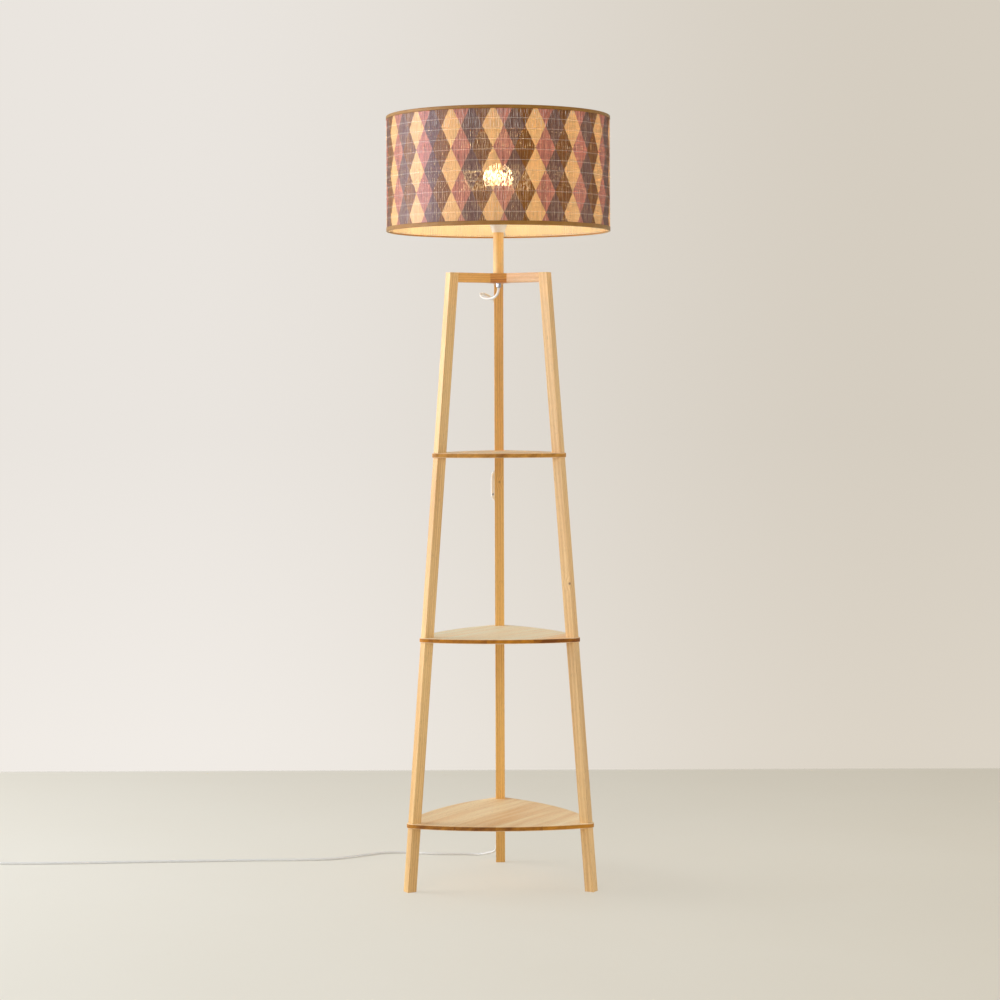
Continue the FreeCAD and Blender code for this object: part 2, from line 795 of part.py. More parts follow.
def make_plug():
    """Flat two-pin plug moulded in one with its tapered strain relief, lying on its broad side."""
    mouth = plug_mouth()
    relief = Part.makeCone(
        relief_mouth_diameter / 2, relief_root_diameter / 2, relief_length, mouth, Vector(0, 1, 0))
    front = relief_length - relief_overlap
    low = mouth + Vector(-plug_width / 2, front, -plug_depth / 2)
    body = Part.makeBox(plug_width, plug_length, plug_depth, low)
    long_edges = [edge for edge in body.Edges if edge.BoundBox.YLength > plug_length / 2]
    body = body.makeFillet(plug_round, long_edges)
    plug = body.fuse(relief)
    face = mouth + Vector(0, front + plug_length, 0)
    pins = []
    for side in (-1, 1):
        root = face + Vector(side * plug_pin_spacing / 2, -plug_pin_embedded, 0)
        hole = Part.makeCylinder(
            plug_pin_diameter / 2 + fit_gap, plug_pin_embedded, root, Vector(0, 1, 0))
        plug = plug.cut(hole)
        length = plug_pin_embedded + plug_pin_length
        pin = Part.makeCylinder(plug_pin_diameter / 2, length, root, Vector(0, 1, 0))
        tip_edge = [edge for edge in pin.Edges if edge.BoundBox.YMin > root.y + length - 0.01]
        pins.append(pin.makeFillet(plug_pin_diameter / 4, tip_edge))
    save("plug_body", plug)
    save("plug_pins", Part.makeCompound(pins))


# ---- in-line switch ----

def switch_centre():
    """The middle of the switch, which hangs behind the rear leg."""
    outward = leg_radius(switch_height) + half_leg + switch_off_leg + switch_depth / 2
    return Vector(switch_sideways, outward, switch_height)


def lean():
    """The rear leg's slope in degrees, which the switch follows."""
    return math.degrees(math.atan2(leg_radius_floor - leg_radius_top, frame_top))


def place_on_leg(shape):
    """From the switch's own frame, X across, Y away from the leg, Z along it, to the lamp's."""
    shape.rotate(Vector(), Vector(1, 0, 0), lean())
    shape.translate(switch_centre())
    return shape


def switch_end(way):
    """The middle of the switch's upper (1) or lower (-1) end face."""
    axis = leg_direction(leg_angles["rear"])
    return switch_centre() + axis * (way * switch_length / 2)


def switch_outline(inset):
    """The housing's outline seen from behind, drawn in by a wall."""
    half_width = switch_width / 2 - inset
    half_nose = switch_nose_width / 2 - inset
    half_length = switch_length / 2 - inset
    shoulder = switch_length / 2 - switch_nose_width / 2 - inset
    profile = [
        (half_width, -shoulder),
        (half_width, shoulder),
        (half_nose, half_length),
        (-half_nose, half_length),
        (-half_width, shoulder),
        (-half_width, -shoulder),
        (-half_nose, -half_length),
        (half_nose, -half_length),
    ]
    return [Vector(x, 0, z) for x, z in profile]


def switch_half(way):
    """One half of the housing, from the split towards the leg (-1) or away from it (1)."""
    outline = switch_outline(0.0)
    depth = switch_depth / 2
    half = Part.Face(Part.makePolygon(outline + outline[:1])).extrude(Vector(0, way * depth, 0))
    face_edges = [
        edge for edge in half.Edges
        if edge.BoundBox.YLength < 0.001 and abs(edge.BoundBox.YMax) > depth / 2
    ]
    half = half.makeFillet(switch_round, face_edges)
    pocket = switch_outline(switch_wall)
    pocket_face = Part.Face(Part.makePolygon(pocket + pocket[:1]))
    half = half.cut(pocket_face.extrude(Vector(0, way * (depth - switch_wall), 0)))
    for x, z in switch_screw_places():
        boss = Part.makeCylinder(
            switch_boss / 2, depth - switch_wall, Vector(x, 0, z), Vector(0, way, 0))
        half = half.fuse(boss)
    return half


def switch_screw_places():
    x = switch_width / 2 - switch_boss / 2 - 1.0
    z = switch_length / 2 - switch_nose_width / 2 - switch_boss / 2 - 3.0
    return [(x, z), (-x, -z)]


def rocker_outline():
    """The rocker's side, level: raised ends over a narrower foot, as (along, outward)."""
    half = rocker_length / 2
    face = switch_depth / 2
    return [
        (-half, face + rocker_end_rise),
        (0.0, face + rocker_middle_rise),
        (half, face + rocker_end_rise),
        (half - rocker_gap, pin_height + pin_diameter / 2),
        (pin_diameter * 1.6, pin_height - rocker_foot),
        (-pin_diameter * 1.6, pin_height - rocker_foot),
        (-half + rocker_gap, pin_height + pin_diameter / 2),
    ]


def rocker_slot():
    """Width and half length of the cover's opening, in which the rocker tips to either side."""
    swing = math.radians(rocker_tilt)
    rise = switch_depth / 2 + rocker_end_rise - pin_height
    half_length = rocker_length / 2 * math.cos(swing) + rise * math.sin(swing) + rocker_gap
    return rocker_width + 2 * rocker_gap, half_length


def pin_bar(radius):
    """A round bar across the switch on the line of the rocker's pin."""
    half = rocker_slot()[0] / 2 + running_gap + switch_ear
    return Part.makeCylinder(radius, 2 * half, Vector(-half, pin_height, 0), Vector(1, 0, 0))


def make_rocker():
    outline = [Vector(-rocker_width / 2, y, z) for z, y in rocker_outline()]
    face = Part.Face(Part.makePolygon(outline + outline[:1]))
    rocker = face.extrude(Vector(rocker_width, 0, 0))
    outside = switch_depth / 2 + rocker_middle_rise / 2
    top_edges = [edge for edge in rocker.Edges if edge.BoundBox.YMin > outside]
    rocker = rocker.makeFillet(rocker_edge_round, top_edges)
    rocker = rocker.cut(pin_bar(pin_diameter / 2 + fit_gap))
    rocker.rotate(Vector(0, pin_height, 0), Vector(1, 0, 0), -rocker_tilt)
    return rocker


def switch_contacts():
    """A terminal block towards each end, and the bridge between them under the rocker."""
    floor = -switch_depth / 2 + switch_wall + fit_gap
    reach = rocker_slot()[1]
    width, depth, height = terminal_block
    contacts = []
    for way in (-1, 1):
        low = way * (reach + height * 2 / 3) - height / 2
        contacts.append(Part.makeBox(width, depth, height, Vector(-width / 2, floor, low)))
    half = reach - bridge_width / 2
    start = Vector(-bridge_width / 2, floor, -half)
    contacts.append(Part.makeBox(bridge_width, bridge_thickness, 2 * half, start))
    return Part.makeCompound(contacts)


def make_switch():
    depth = switch_depth / 2
    away = Vector(0, 1, 0)
    base = switch_half(-1)
    cover = switch_half(1)
    slot_width, slot_half = rocker_slot()
    corner = Vector(-slot_width / 2, depth - 2 * switch_wall, -slot_half)
    cover = cover.cut(Part.makeBox(slot_width, 3 * switch_wall, 2 * slot_half, corner))

    # Two ears inside the cover hold the rocker's pin.
    near = slot_width / 2 + running_gap
    low = pin_height - pin_diameter
    for x in (near, -near - switch_ear):
        corner = Vector(x, low, -1.5 * pin_diameter)
        ear = Part.makeBox(switch_ear, depth - switch_wall - low, 3 * pin_diameter, corner)
        cover = cover.fuse(ear)
    cover = cover.cut(pin_bar(pin_diameter / 2 + fit_gap))

    # The screws go in from the side of the leg, through the base into the cover.
    screws = []
    radius = switch_screw_diameter / 2
    head_radius = switch_screw_head / 2
    seat = -depth + switch_screw_sink + switch_screw_head_height
    tip = depth - switch_wall - 2 * switch_screw_sink
    for x, z in switch_screw_places():
        head_foot = Vector(x, -depth + switch_screw_sink, z)
        head = Part.makeCylinder(head_radius, switch_screw_head_height, head_foot, away)
        shank = Part.makeCylinder(radius, tip - seat, Vector(x, seat, z), away)
        screws.append(head.fuse(shank))
        outside = Vector(x, -depth - running_gap, z)
        sink_radius = head_radius + running_gap
        sink = Part.makeCylinder(sink_radius, seat + depth + running_gap, outside, away)
        hole = Part.makeCylinder(radius + fit_gap, tip + depth + 2 * running_gap, outside, away)
        base = base.cut(sink).cut(hole)
        cover = cover.cut(hole)

    save("switch_base", place_on_leg(base))
    save("switch_cover", place_on_leg(cover))
    save("switch_rocker", place_on_leg(make_rocker()))
    save("switch_pin", place_on_leg(pin_bar(pin_diameter / 2)))
    save("switch_screws", place_on_leg(Part.makeCompound(screws)))
    save("switch_contacts", place_on_leg(switch_contacts()))
    pivot = place_on_leg(Part.Vertex(0, pin_height, 0)).Point
    print("rocker pivot", round(pivot.x, 3), round(pivot.y, 3), round(pivot.z, 3))


# ---- routes of the loose cord ----
# From the grip the cord loops round the left of the rear leg and hangs on the leg's back.
upper_route = [
    (0.0, 0.0, 1186.2),
    (-2.2, 2.4, 1181.0),
    (-7.4, 8.1, 1176.4),
    (-15.4, 16.8, 1172.9),
    (-25.0, 28.5, 1171.2),
    (-31.5, 42.0, 1172.8),
    (-36.0, 58.5, 1177.6),
    (-37.0, 79.0, 1182.0),
    (-32.5, 100.0, 1183.2),
    (-23.0, 117.5, 1179.0),
    (-12.5, 128.5, 1167.5),
    (-6.0, 132.5, 1149.0),
    (-3.0, 133.0, 1118.0),
    (-1.5, 135.0, 1066.0),
    (-2.5, 139.5, 1006.0),
    (-4.5, 145.0, 944.0),
    (-5.5, 152.5, 900.0),
    (-6.0, 158.6, 872.0),
    (-6.2, 159.2, 848.0),
]
# Below the switch it hangs on past two shelf corners, and from the foot it runs to the left.
floor_route = [
    (-5.6, 166.6, 722.0),
    (-4.4, 169.5, 680.0),
    (-2.6, 173.0, 622.0),
    (-1.6, 178.5, 568.0),
    (-1.8, 187.4, 510.0),
    (-2.4, 190.0, 474.0),
    (-2.8, 191.0, 424.0),
    (-2.0, 193.5, 366.0),
    (-1.0, 198.5, 304.0),
    (-1.2, 204.5, 242.0),
    (-2.2, 211.5, 186.0),
    (-3.4, 218.6, 142.0),
    (-4.4, 220.6, 112.0),
    (-5.2, 221.5, 76.0),
    (-6.6, 224.0, 46.0),
    (-9.6, 232.0, 22.0),
    (-16.5, 247.0, 7.0),
    (-31.0, 266.0, 2.6),
    (-55.0, 277.0, 2.6),
    (-98.0, 278.0, 2.6),
    (-150.0, 281.0, 2.6),
    (-197.0, 300.0, 2.6),
    (-243.0, 299.0, 2.6),
    (-290.0, 266.0, 2.6),
    (-340.0, 229.0, 2.6),
    (-405.0, 218.0, 2.6),
    (-476.0, 217.5, 2.6),
    (-548.0, 215.0, 2.6),
    (-620.0, 210.5, 2.6),
    (-692.0, 206.5, 2.6),
    (-764.0, 201.6, 2.6),
    (-836.0, 196.4, 2.6),
    (-906.0, 192.2, 2.6),
    (-972.0, 189.4, 2.6),
    (-1026.0, 188.6, 2.8),
]


def make_cord():
    grip_exit = Vector(0, 0, grip_bottom)
    switch_step = leg_direction(leg_angles["rear"]) * straight_at_switch
    upper = [grip_exit] + [Vector(*point) for point in upper_route]
    upper += [switch_end(1) + switch_step, switch_end(1)]
    start = coil_start()
    lower = [switch_end(-1), switch_end(-1) - switch_step]
    lower += [Vector(*point) for point in floor_route]
    lower += [start + Vector(straight_at_coil, 0, 0), start]
    total = cord_tube("cord_upper", upper) + switch_length + cord_tube("cord_floor", lower)

    inner_top = post_top + holder_floor + inner_cord_end
    inside = Part.makeCylinder(cord_radius, inner_top - grip_bottom, grip_exit)
    save("cord_inner", inside)
    cores = []
    for side in (-1, 1):
        low = Vector(side * core_diameter * 0.6, 0, inner_top + core_diameter / 2)
        level = holder_rim - insert_disc_height - core_diameter / 2
        high = Vector(side * terminal_spacing / 2, 0, level)
        cores.append(Part.makeCylinder(core_diameter / 2, (high - low).Length, low, high - low))
    save("cord_cores", Part.makeCompound(cores))
    total += make_coil()
    print("loose cord with its switch, to the plug:", round(total, 1))


os.makedirs("parts", exist_ok=True)
make_legs()
make_leg_studs()
make_shelves()
make_arms()
make_hub()
make_post()
make_cord_grip()
make_holder()
make_bulb()
make_shade()
make_switch()
make_cord()
make_plug()
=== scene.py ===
import math
import random

import bpy
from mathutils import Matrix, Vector


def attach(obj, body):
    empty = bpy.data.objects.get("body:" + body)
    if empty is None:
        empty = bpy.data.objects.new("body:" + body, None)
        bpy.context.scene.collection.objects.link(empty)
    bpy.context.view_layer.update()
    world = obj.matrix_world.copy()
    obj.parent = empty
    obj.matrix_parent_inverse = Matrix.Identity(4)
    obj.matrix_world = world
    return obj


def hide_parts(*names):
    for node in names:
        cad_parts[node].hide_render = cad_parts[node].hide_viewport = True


# Shelf floor lamp with a printed drum shade, made round the CAD model and in the same frame:
# metres, +Z up, the floor at z = 0. The cord and the shade are worked out in millimetres and
# multiplied by MM where they are made. Angles round the lamp count from +X towards +Y, and in the
# shade's materials from the front towards +X.
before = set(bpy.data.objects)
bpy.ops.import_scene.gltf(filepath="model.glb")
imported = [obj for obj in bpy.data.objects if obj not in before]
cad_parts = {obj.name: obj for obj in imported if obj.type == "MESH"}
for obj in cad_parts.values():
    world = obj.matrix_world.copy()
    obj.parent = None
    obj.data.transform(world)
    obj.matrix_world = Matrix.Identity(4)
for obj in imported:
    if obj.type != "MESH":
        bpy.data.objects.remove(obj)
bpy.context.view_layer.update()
MM = 0.001


# ---- camera ----

CAMERA_PLACE = (0.0, -5.022, 0.9962)
CAMERA_TURN = (math.pi / 2, 0.0035, 0.0)
CAMERA_SHIFT = (0.0011, -0.115)


def make_camera():
    data = bpy.data.cameras.new("camera")
    data.lens = 90.0
    data.sensor_width = 36.0
    data.shift_x, data.shift_y = CAMERA_SHIFT
    data.clip_end = 60.0
    camera = bpy.data.objects.new("camera", data)
    camera.location = CAMERA_PLACE
    camera.rotation_euler = CAMERA_TURN
    bpy.context.scene.collection.objects.link(camera)
    bpy.context.scene.camera = camera


make_camera()


# ---- cord, in millimetres: along the CAD model's routes, with rounder bends at the hub, behind
# the top of the rear leg and where the cord reaches the floor ----

CORD_DIAMETER = 5.0
FRAME_TOP = 1220.0
LEG_FLOOR = 206.0
LEG_TOP = 106.0
HALF_LEG = 9.5
SWITCH_HALF = 30.0
SWITCH_LEVEL = 788.0
SWITCH_SIDE = -6.0
SWITCH_STANDOFF = 10.5
SWITCH_RUN = 14.0
GRIP_EXIT = (0.0, 0.0, 1191.3)
UPPER_ROUTE = [
    (0.0, 0.0, 1187.2), (-2.1, 2.3, 1179.9), (-6.0, 6.5, 1174.4), (-11.2, 12.2, 1171.4),
    (-17.6, 19.8, 1170.4), (-25.0, 30.2, 1171.0), (-31.5, 43.0, 1173.2), (-36.0, 58.5, 1177.6),
    (-37.0, 79.0, 1182.0), (-32.0, 99.5, 1183.4), (-22.5, 116.5, 1181.0), (-11.6, 127.2, 1172.6),
    (-5.0, 132.6, 1157.0), (-3.0, 133.4, 1130.0), (-2.2, 134.2, 1092.0), (-1.6, 136.4, 1052.0),
    (-2.5, 139.8, 1004.0), (-4.5, 145.0, 944.0), (-5.5, 152.5, 900.0), (-6.0, 158.6, 872.0),
    (-6.2, 159.2, 848.0),
]
FLOOR_ROUTE = [
    (-5.6, 166.6, 722.0), (-4.4, 169.5, 680.0), (-2.6, 173.0, 622.0), (-1.6, 178.5, 568.0),
    (-1.8, 187.4, 510.0), (-2.4, 190.0, 474.0), (-2.8, 191.0, 424.0), (-2.0, 193.5, 366.0),
    (-1.0, 198.5, 304.0), (-1.2, 204.5, 242.0), (-2.2, 211.5, 186.0), (-3.4, 218.6, 142.0),
    (-4.4, 220.6, 112.0), (-5.2, 221.5, 76.0), (-6.6, 224.0, 46.0), (-7.4, 231.0, 26.0),
    (-12.0, 241.0, 14.5), (-26.0, 254.5, 8.6), (-44.0, 267.5, 3.4), (-64.0, 275.5, 2.6),
    (-98.0, 278.0, 2.6), (-150.0, 281.0, 2.6), (-197.0, 300.0, 2.6), (-243.0, 299.0, 2.6),
    (-290.0, 266.0, 2.6), (-340.0, 229.0, 2.6), (-405.0, 218.0, 2.6), (-476.0, 217.5, 2.6),
    (-548.0, 215.0, 2.6), (-620.0, 210.5, 2.6), (-692.0, 206.5, 2.6), (-764.0, 201.6, 2.6),
    (-836.0, 196.4, 2.6), (-906.0, 192.2, 2.6), (-972.0, 189.4, 2.6), (-1026.0, 188.6, 2.8),
]
COIL_CENTRE = (-1100.0, 222.0)
COIL_INNER = 22.7
COIL_PITCH = 5.9
COIL_TURNS = 3.25
COIL_LOW = 3.4
COIL_LAYER = 5.6
COIL_LEAD = (31.0, 5.0)
COIL_TAIL = 40.0
TAIL_SHARES = (0.12, 0.35, 0.6, 0.85)
PLUG_LEVEL = 6.85
POINTS_PER_TURN = 24


def leg_radius(level):
    """How far a leg's axis is from the lamp's, at a height."""
    return LEG_FLOOR + (LEG_TOP - LEG_FLOOR) * level / FRAME_TOP


def leg_axis(angle):
    """A leg's direction, upwards."""
    turn = math.radians(angle)
    lean = (LEG_TOP - LEG_FLOOR) / FRAME_TOP
    return Vector((math.cos(turn) * lean, math.sin(turn) * lean, 1.0)).normalized()


def smooth_step(share):
    return share * share * (3 - 2 * share)


def coil_points():
    """The coil's turns as control points, and its tail that comes down to the plug."""
    swing = 2 * math.pi * COIL_TURNS
    count = round(COIL_TURNS * POINTS_PER_TURN)
    points = []
    for k in range(count + 1):
        past = swing * (k / count - 0.5)
        radius = COIL_INNER + COIL_PITCH * abs(past) / (2 * math.pi)
        climb = min(max(past / math.pi + 0.5, 0.0), 1.0)
        turn = -math.pi / 2 - swing * k / count
        points.append((
            COIL_CENTRE[0] + radius * math.cos(turn),
            COIL_CENTRE[1] + radius * math.sin(turn),
            COIL_LOW + COIL_LAYER * smooth_step(climb),
        ))
    x, y, z = points[-1]
    for share in TAIL_SHARES:
        points.append((x, y + COIL_TAIL * share, z + (PLUG_LEVEL - z) * smooth_step(share)))
    points.append((x, y + COIL_TAIL + CORD_DIAMETER, PLUG_LEVEL))
    return points


def cord_curve(name, points):
    """One open NURBS spline with the route's points as its control points."""
    data = bpy.data.curves.new(name, "CURVE")
    data.dimensions = "3D"
    data.bevel_depth = 1.0
    data.bevel_resolution = 4
    data.resolution_u = 10
    data.use_fill_caps = True
    spline = data.splines.new("NURBS")
    spline.points.add(len(points) - 1)
    for target, point in zip(spline.points, points):
        target.co = (point[0] * MM, point[1] * MM, point[2] * MM, 1.0)
        target.radius = CORD_DIAMETER / 2 * MM
    spline.order_u = 3
    spline.use_endpoint_u = True
    cord = bpy.data.objects.new(name, data)
    bpy.context.scene.collection.objects.link(cord)
    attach(cord, "lamp")
    return cord


def switch_end(way, further=0.0):
    """The switch's upper (1) or lower (-1) end, or a place past it along the leg."""
    outwards = leg_radius(SWITCH_LEVEL) + HALF_LEG + SWITCH_STANDOFF
    centre = Vector((SWITCH_SIDE, outwards, SWITCH_LEVEL))
    return tuple(centre + leg_axis(90.0) * (way * SWITCH_HALF + further))


def make_cords():
    upper = [GRIP_EXIT] + UPPER_ROUTE + [switch_end(1, SWITCH_RUN), switch_end(1)]
    cord_upper = cord_curve("cord_to_switch", upper)
    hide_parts("cord_upper")
    turns = coil_points()
    x, y, z = turns[0]
    floor = [switch_end(-1), switch_end(-1, -SWITCH_RUN)] + FLOOR_ROUTE
    floor += [(x + lead, y, z) for lead in COIL_LEAD] + turns
    cord_floor = cord_curve("cord_to_plug", floor)
    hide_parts("cord_floor", "cord_coil")
    return cord_upper, cord_floor


cords = make_cords()


# ---- materials ----

def tone(red, green, blue):
    """A colour in display values from 0 to 255, as the linear values that shaders take."""
    linear = []
    for value in (red, green, blue):
        share = value / 255
        linear.append(share / 12.92 if share <= 0.04045 else ((share + 0.055) / 1.055) ** 2.4)
    return (*linear, 1.0)


class Nodes:
    """The node tree of a material or a world, with short calls for the nodes used here."""

    def __init__(self, owner, output="ShaderNodeOutputMaterial"):
        owner.use_nodes = True
        self.owner = owner
        self.tree = owner.node_tree
        self.tree.nodes.clear()
        self.output = self.tree.nodes.new(output)

    def set(self, socket, value):
        if isinstance(value, bpy.types.NodeSocket):
            self.tree.links.new(value, socket)
        elif value is not None:
            socket.default_value = value

    def add(self, kind, **settings):
        node = self.tree.nodes.new("ShaderNode" + kind)
        for key, value in settings.items():
            setattr(node, key, value)
        return node

    def math(self, operation, first, second=None, third=None):
        node = self.add("Math", operation=operation)
        for socket, value in zip(node.inputs, (first, second, third)):
            self.set(socket, value)
        return node.outputs[0]

    def vector(self, operation, first, second):
        node = self.add("VectorMath", operation=operation)
        self.set(node.inputs[0], first)
        self.set(node.inputs[1], second)
        return node.outputs["Value" if operation in ("DOT_PRODUCT", "DISTANCE") else "Vector"]

    def position(self):
        """The place on the lamp in metres, because all its pieces sit at the origin."""
        return self.add("TexCoord").outputs["Object"]

    def parts(self, vector):
        node = self.add("SeparateXYZ")
        self.set(node.inputs[0], vector)
        return node.outputs

    def join(self, x, y, z):
        node = self.add("CombineXYZ")
        for socket, value in zip(node.inputs, (x, y, z)):
            self.set(socket, value)
        return node.outputs[0]

    def around(self):
        """The place as x, y and z, and its angle round the lamp from the front."""
        x, y, z = self.parts(self.position())
        return x, y, z, self.math("ARCTAN2", x, self.math("MULTIPLY", y, -1.0))

    def mapped(self, vector, scale=(1, 1, 1), rotation=(0, 0, 0), move=(0, 0, 0)):
        node = self.add("Mapping")
        self.set(node.inputs["Vector"], vector)
        node.inputs["Scale"].default_value = scale
        node.inputs["Rotation"].default_value = rotation
        node.inputs["Location"].default_value = move
        return node.outputs[0]

    def noise(self, vector, scale, detail=3.0, rough=0.5):
        node = self.add("TexNoise")
        self.set(node.inputs["Vector"], vector)
        node.inputs["Scale"].default_value = scale
        node.inputs["Detail"].default_value = detail
        node.inputs["Roughness"].default_value = rough
        return node.outputs["Fac"]

    def white(self, value):
        node = self.add("TexWhiteNoise", noise_dimensions="1D")
        self.set(node.inputs["W"], value)
        return node.outputs["Value"]

    def span(self, value, low, high, to_low=0.0, to_high=1.0, smooth=False):
        """A value mapped from one range to another and held at its ends."""
        node = self.add("MapRange", interpolation_type="SMOOTHSTEP" if smooth else "LINEAR")
        self.set(node.inputs["Value"], value)
        node.inputs["From Min"].default_value = low
        node.inputs["From Max"].default_value = high
        node.inputs["To Min"].default_value = to_low
        node.inputs["To Max"].default_value = to_high
        return node.outputs[0]

    def mix(self, factor, first, second):
        node = self.add("Mix", data_type="RGBA", blend_type="MIX")
        self.set(node.inputs["Factor"], factor)
        self.set(node.inputs[6], first)
        self.set(node.inputs[7], second)
        return node.outputs[2]

    def ramp(self, value, stops, constant=False):
        node = self.add("ValToRGB")
        self.set(node.inputs[0], value)
        ramp = node.color_ramp
        if constant:
            ramp.interpolation = "CONSTANT"
        while len(ramp.elements) < len(stops):
            ramp.elements.new(0.5)
        for element, (place, colour) in zip(ramp.elements, stops):
            element.position = place
            element.color = colour
        return node.outputs[0]

    def bump(self, height, strength, distance):
        node = self.add("Bump")
        self.set(node.inputs["Height"], height)
        node.inputs["Strength"].default_value = strength
        node.inputs["Distance"].default_value = distance
        return node.outputs[0]

    def surface(self, colour, rough, normal=None, **more):
        node = self.add("BsdfPrincipled")
        self.set(node.inputs["Base Color"], colour)
        self.set(node.inputs["Roughness"], rough)
        self.set(node.inputs["Normal"], normal)
        for key, value in more.items():
            node.inputs[key.replace("_", " ")].default_value = value
        return node.outputs[0]

    def shader(self, kind, **inputs):
        node = self.add(kind)
        for key, value in inputs.items():
            self.set(node.inputs[key], value)
        return node.outputs[0]

    def mix_shader(self, factor, first, second):
        node = self.add("MixShader")
        for socket, value in zip(node.inputs, (factor, first, second)):
            self.set(socket, value)
        return node.outputs[0]

    def finish(self, shader):
        self.tree.links.new(shader, self.output.inputs["Surface"])
        return self.owner


def material_nodes(name):
    return Nodes(bpy.data.materials.new(name))


def blend_tone(first, second, share):
    return tuple(a + (b - a) * share for a, b in zip(first, second))


def darker(colour, share):
    return tone(*[c * share for c in colour])


# Scales of the wood's unevenness across and along the grain.
WARP_SCALE = (14, 14, 2.2)
STREAK_SCALE = (260, 260, 5.5)
BROAD_SCALE = (42, 42, 3.0)
PORE_SCALE = (1500, 1500, 90)
RING_SLANT = 0.45
RING_WARP = 17.0
RING_POWER = 1.7
KNOT_WARP = 0.45
WOOD_ROUGH = 0.38
SHELF_ROUGH = 0.50
ROUGH_SPREAD = 0.12
KNOT_REACH = 0.016
KNOT_CORE = (0.0016, 0.0034)
KNOT_TONE = (112, 62, 26)
GLUE_LINE = 0.00035
GLUE_TONE = (120, 66, 24)
RIM_EDGE = (0.0005, 0.0012)


def wood(name, axis, seed, dark, light, knot=None, planks=None, layers=None, rim=None,
         line=1250.0, stripes=0.20, streaks=0.42):
    """Oiled wood with its grain along an axis.

    knot: its place and how dark its core is. planks: the direction across the glued boards, their
    width, where the first starts, and each board's shift in tone. layers: the height of a glue
    line and the tone under it. rim: a shelf's top, its thickness and the two tones of its edge,
    which is darker than the faces, partly for the edge's own grain and partly as painted shade.
    line, stripes and streaks: how close the year rings are, and the shares of rings and streaks.
    """
    n = material_nodes(name)
    place = n.position()
    turn = Vector(axis).rotation_difference(Vector((0, 0, 1))).to_euler()
    rng = random.Random(seed)
    shift = [rng.uniform(-3, 3) for _ in range(3)]
    grain_place = n.mapped(place, rotation=turn, move=shift)
    if planks:
        across, width, start, shifts = planks
        reach = n.vector("DOT_PRODUCT", place, across)
        board = n.math("DIVIDE", n.math("SUBTRACT", reach, start), width)
        own = n.white(n.math("ADD", n.math("FLOOR", board), seed * 7.31))
        offset = n.join(n.math("MULTIPLY", own, 3.7), n.math("MULTIPLY", own, 1.9), own)
        grain_place = n.vector("ADD", grain_place, offset)

    warp = n.noise(n.mapped(grain_place, scale=WARP_SCALE), 1.0, 2.0)
    if knot:
        apart = n.vector("DISTANCE", place, knot[:3])
        near = n.span(apart, 0.0, KNOT_REACH, 1.0, 0.0)
        warp = n.math("ADD", warp, n.math("MULTIPLY", near, KNOT_WARP))
    grain_x, grain_y, _ = n.parts(grain_place)
    rings = n.math("ADD", grain_x, n.math("MULTIPLY", grain_y, RING_SLANT))
    rings = n.math("ADD", n.math("MULTIPLY", rings, line), n.math("MULTIPLY", warp, RING_WARP))
    lines = n.math("POWER", n.math("MULTIPLY_ADD", n.math("SINE", rings), 0.5, 0.5), RING_POWER)
    streak = n.noise(n.mapped(grain_place, scale=STREAK_SCALE), 1.0, 3.0, 0.6)
    broad = n.noise(n.mapped(grain_place, scale=BROAD_SCALE), 1.0, 2.0)
    pores = n.noise(n.mapped(grain_place, scale=PORE_SCALE), 1.0, 1.0)
    pores = n.span(pores, 0.60, 0.70)
    value = n.math("ADD", n.math("MULTIPLY", lines, stripes), n.math("MULTIPLY", streak, streaks))
    value = n.math("ADD", value, n.math("MULTIPLY", broad, 1.12 - stripes - streaks))
    if planks:
        count = len(shifts)
        tint = n.ramp(n.math("MULTIPLY_ADD", board, 1 / count, 1 / count), [
            (k / count, (0.5 + shift,) * 3 + (1.0,)) for k, shift in enumerate(shifts)],
            constant=True)
        value = n.math("ADD", value, n.math("SUBTRACT", tint, 0.5))

    middle = blend_tone(dark, light, 0.62)
    colour = n.ramp(n.span(value, 0.22, 0.86), [
        (0.0, tone(*dark)), (0.5, tone(*middle)), (1.0, tone(*light))])
    colour = n.mix(n.math("MULTIPLY", pores, 0.35), colour, darker(dark, 0.62))
    if knot:
        core = n.span(apart, *KNOT_CORE, 1.0, 0.0)
        colour = n.mix(n.math("MULTIPLY", core, knot[3]), colour, tone(*KNOT_TONE))
    if planks:
        edge = n.math("ABSOLUTE", n.math("SUBTRACT", n.math("FRACT", board), 0.5))
        seam = n.span(edge, 0.5 - GLUE_LINE / width, 0.5)
        colour = n.mix(n.math("MULTIPLY", seam, 0.5), colour, darker(dark, 0.7))
    height = n.parts(place)[2]
    if layers:
        level, low_tone = layers
        low = n.span(height, level - 0.0003, level + 0.0003, 1.0, 0.0)
        colour = n.mix(n.math("MULTIPLY", low, 0.75), colour, tone(*low_tone))
        glue = n.math("COMPARE", height, level, 0.0005)
        colour = n.mix(n.math("MULTIPLY", glue, 0.5), colour, tone(*GLUE_TONE))
    if rim:
        # Painted shade, together with the edge's own grain: the upright edge band gets darker tones
        # than the faces.
        high, thick, rim_tones_with_shade = rim
        least, most = RIM_EDGE
        inner = n.math("MULTIPLY", n.span(height, high - most, high - least, 1.0, 0.0),
                       n.span(height, high - thick + least, high - thick + most))
        edge_tone = n.mix(n.span(value, 0.3, 0.75), tone(*rim_tones_with_shade[0]), tone(*rim_tones_with_shade[1]))
        colour = n.mix(inner, colour, edge_tone)

    base = SHELF_ROUGH if rim else WOOD_ROUGH
    rough = n.span(streak, 0.3, 0.7, base + ROUGH_SPREAD, base)
    relief = n.math("SUBTRACT", n.math("MULTIPLY", streak, 0.6), n.math("MULTIPLY", pores, 0.5))
    return n.finish(n.surface(
        colour, rough, n.bump(relief, 0.35, 0.0003), Coat_Roughness=0.4,
        Coat_Weight=0.0 if rim else 0.15, Specular_IOR_Level=0.3 if rim else 0.5))


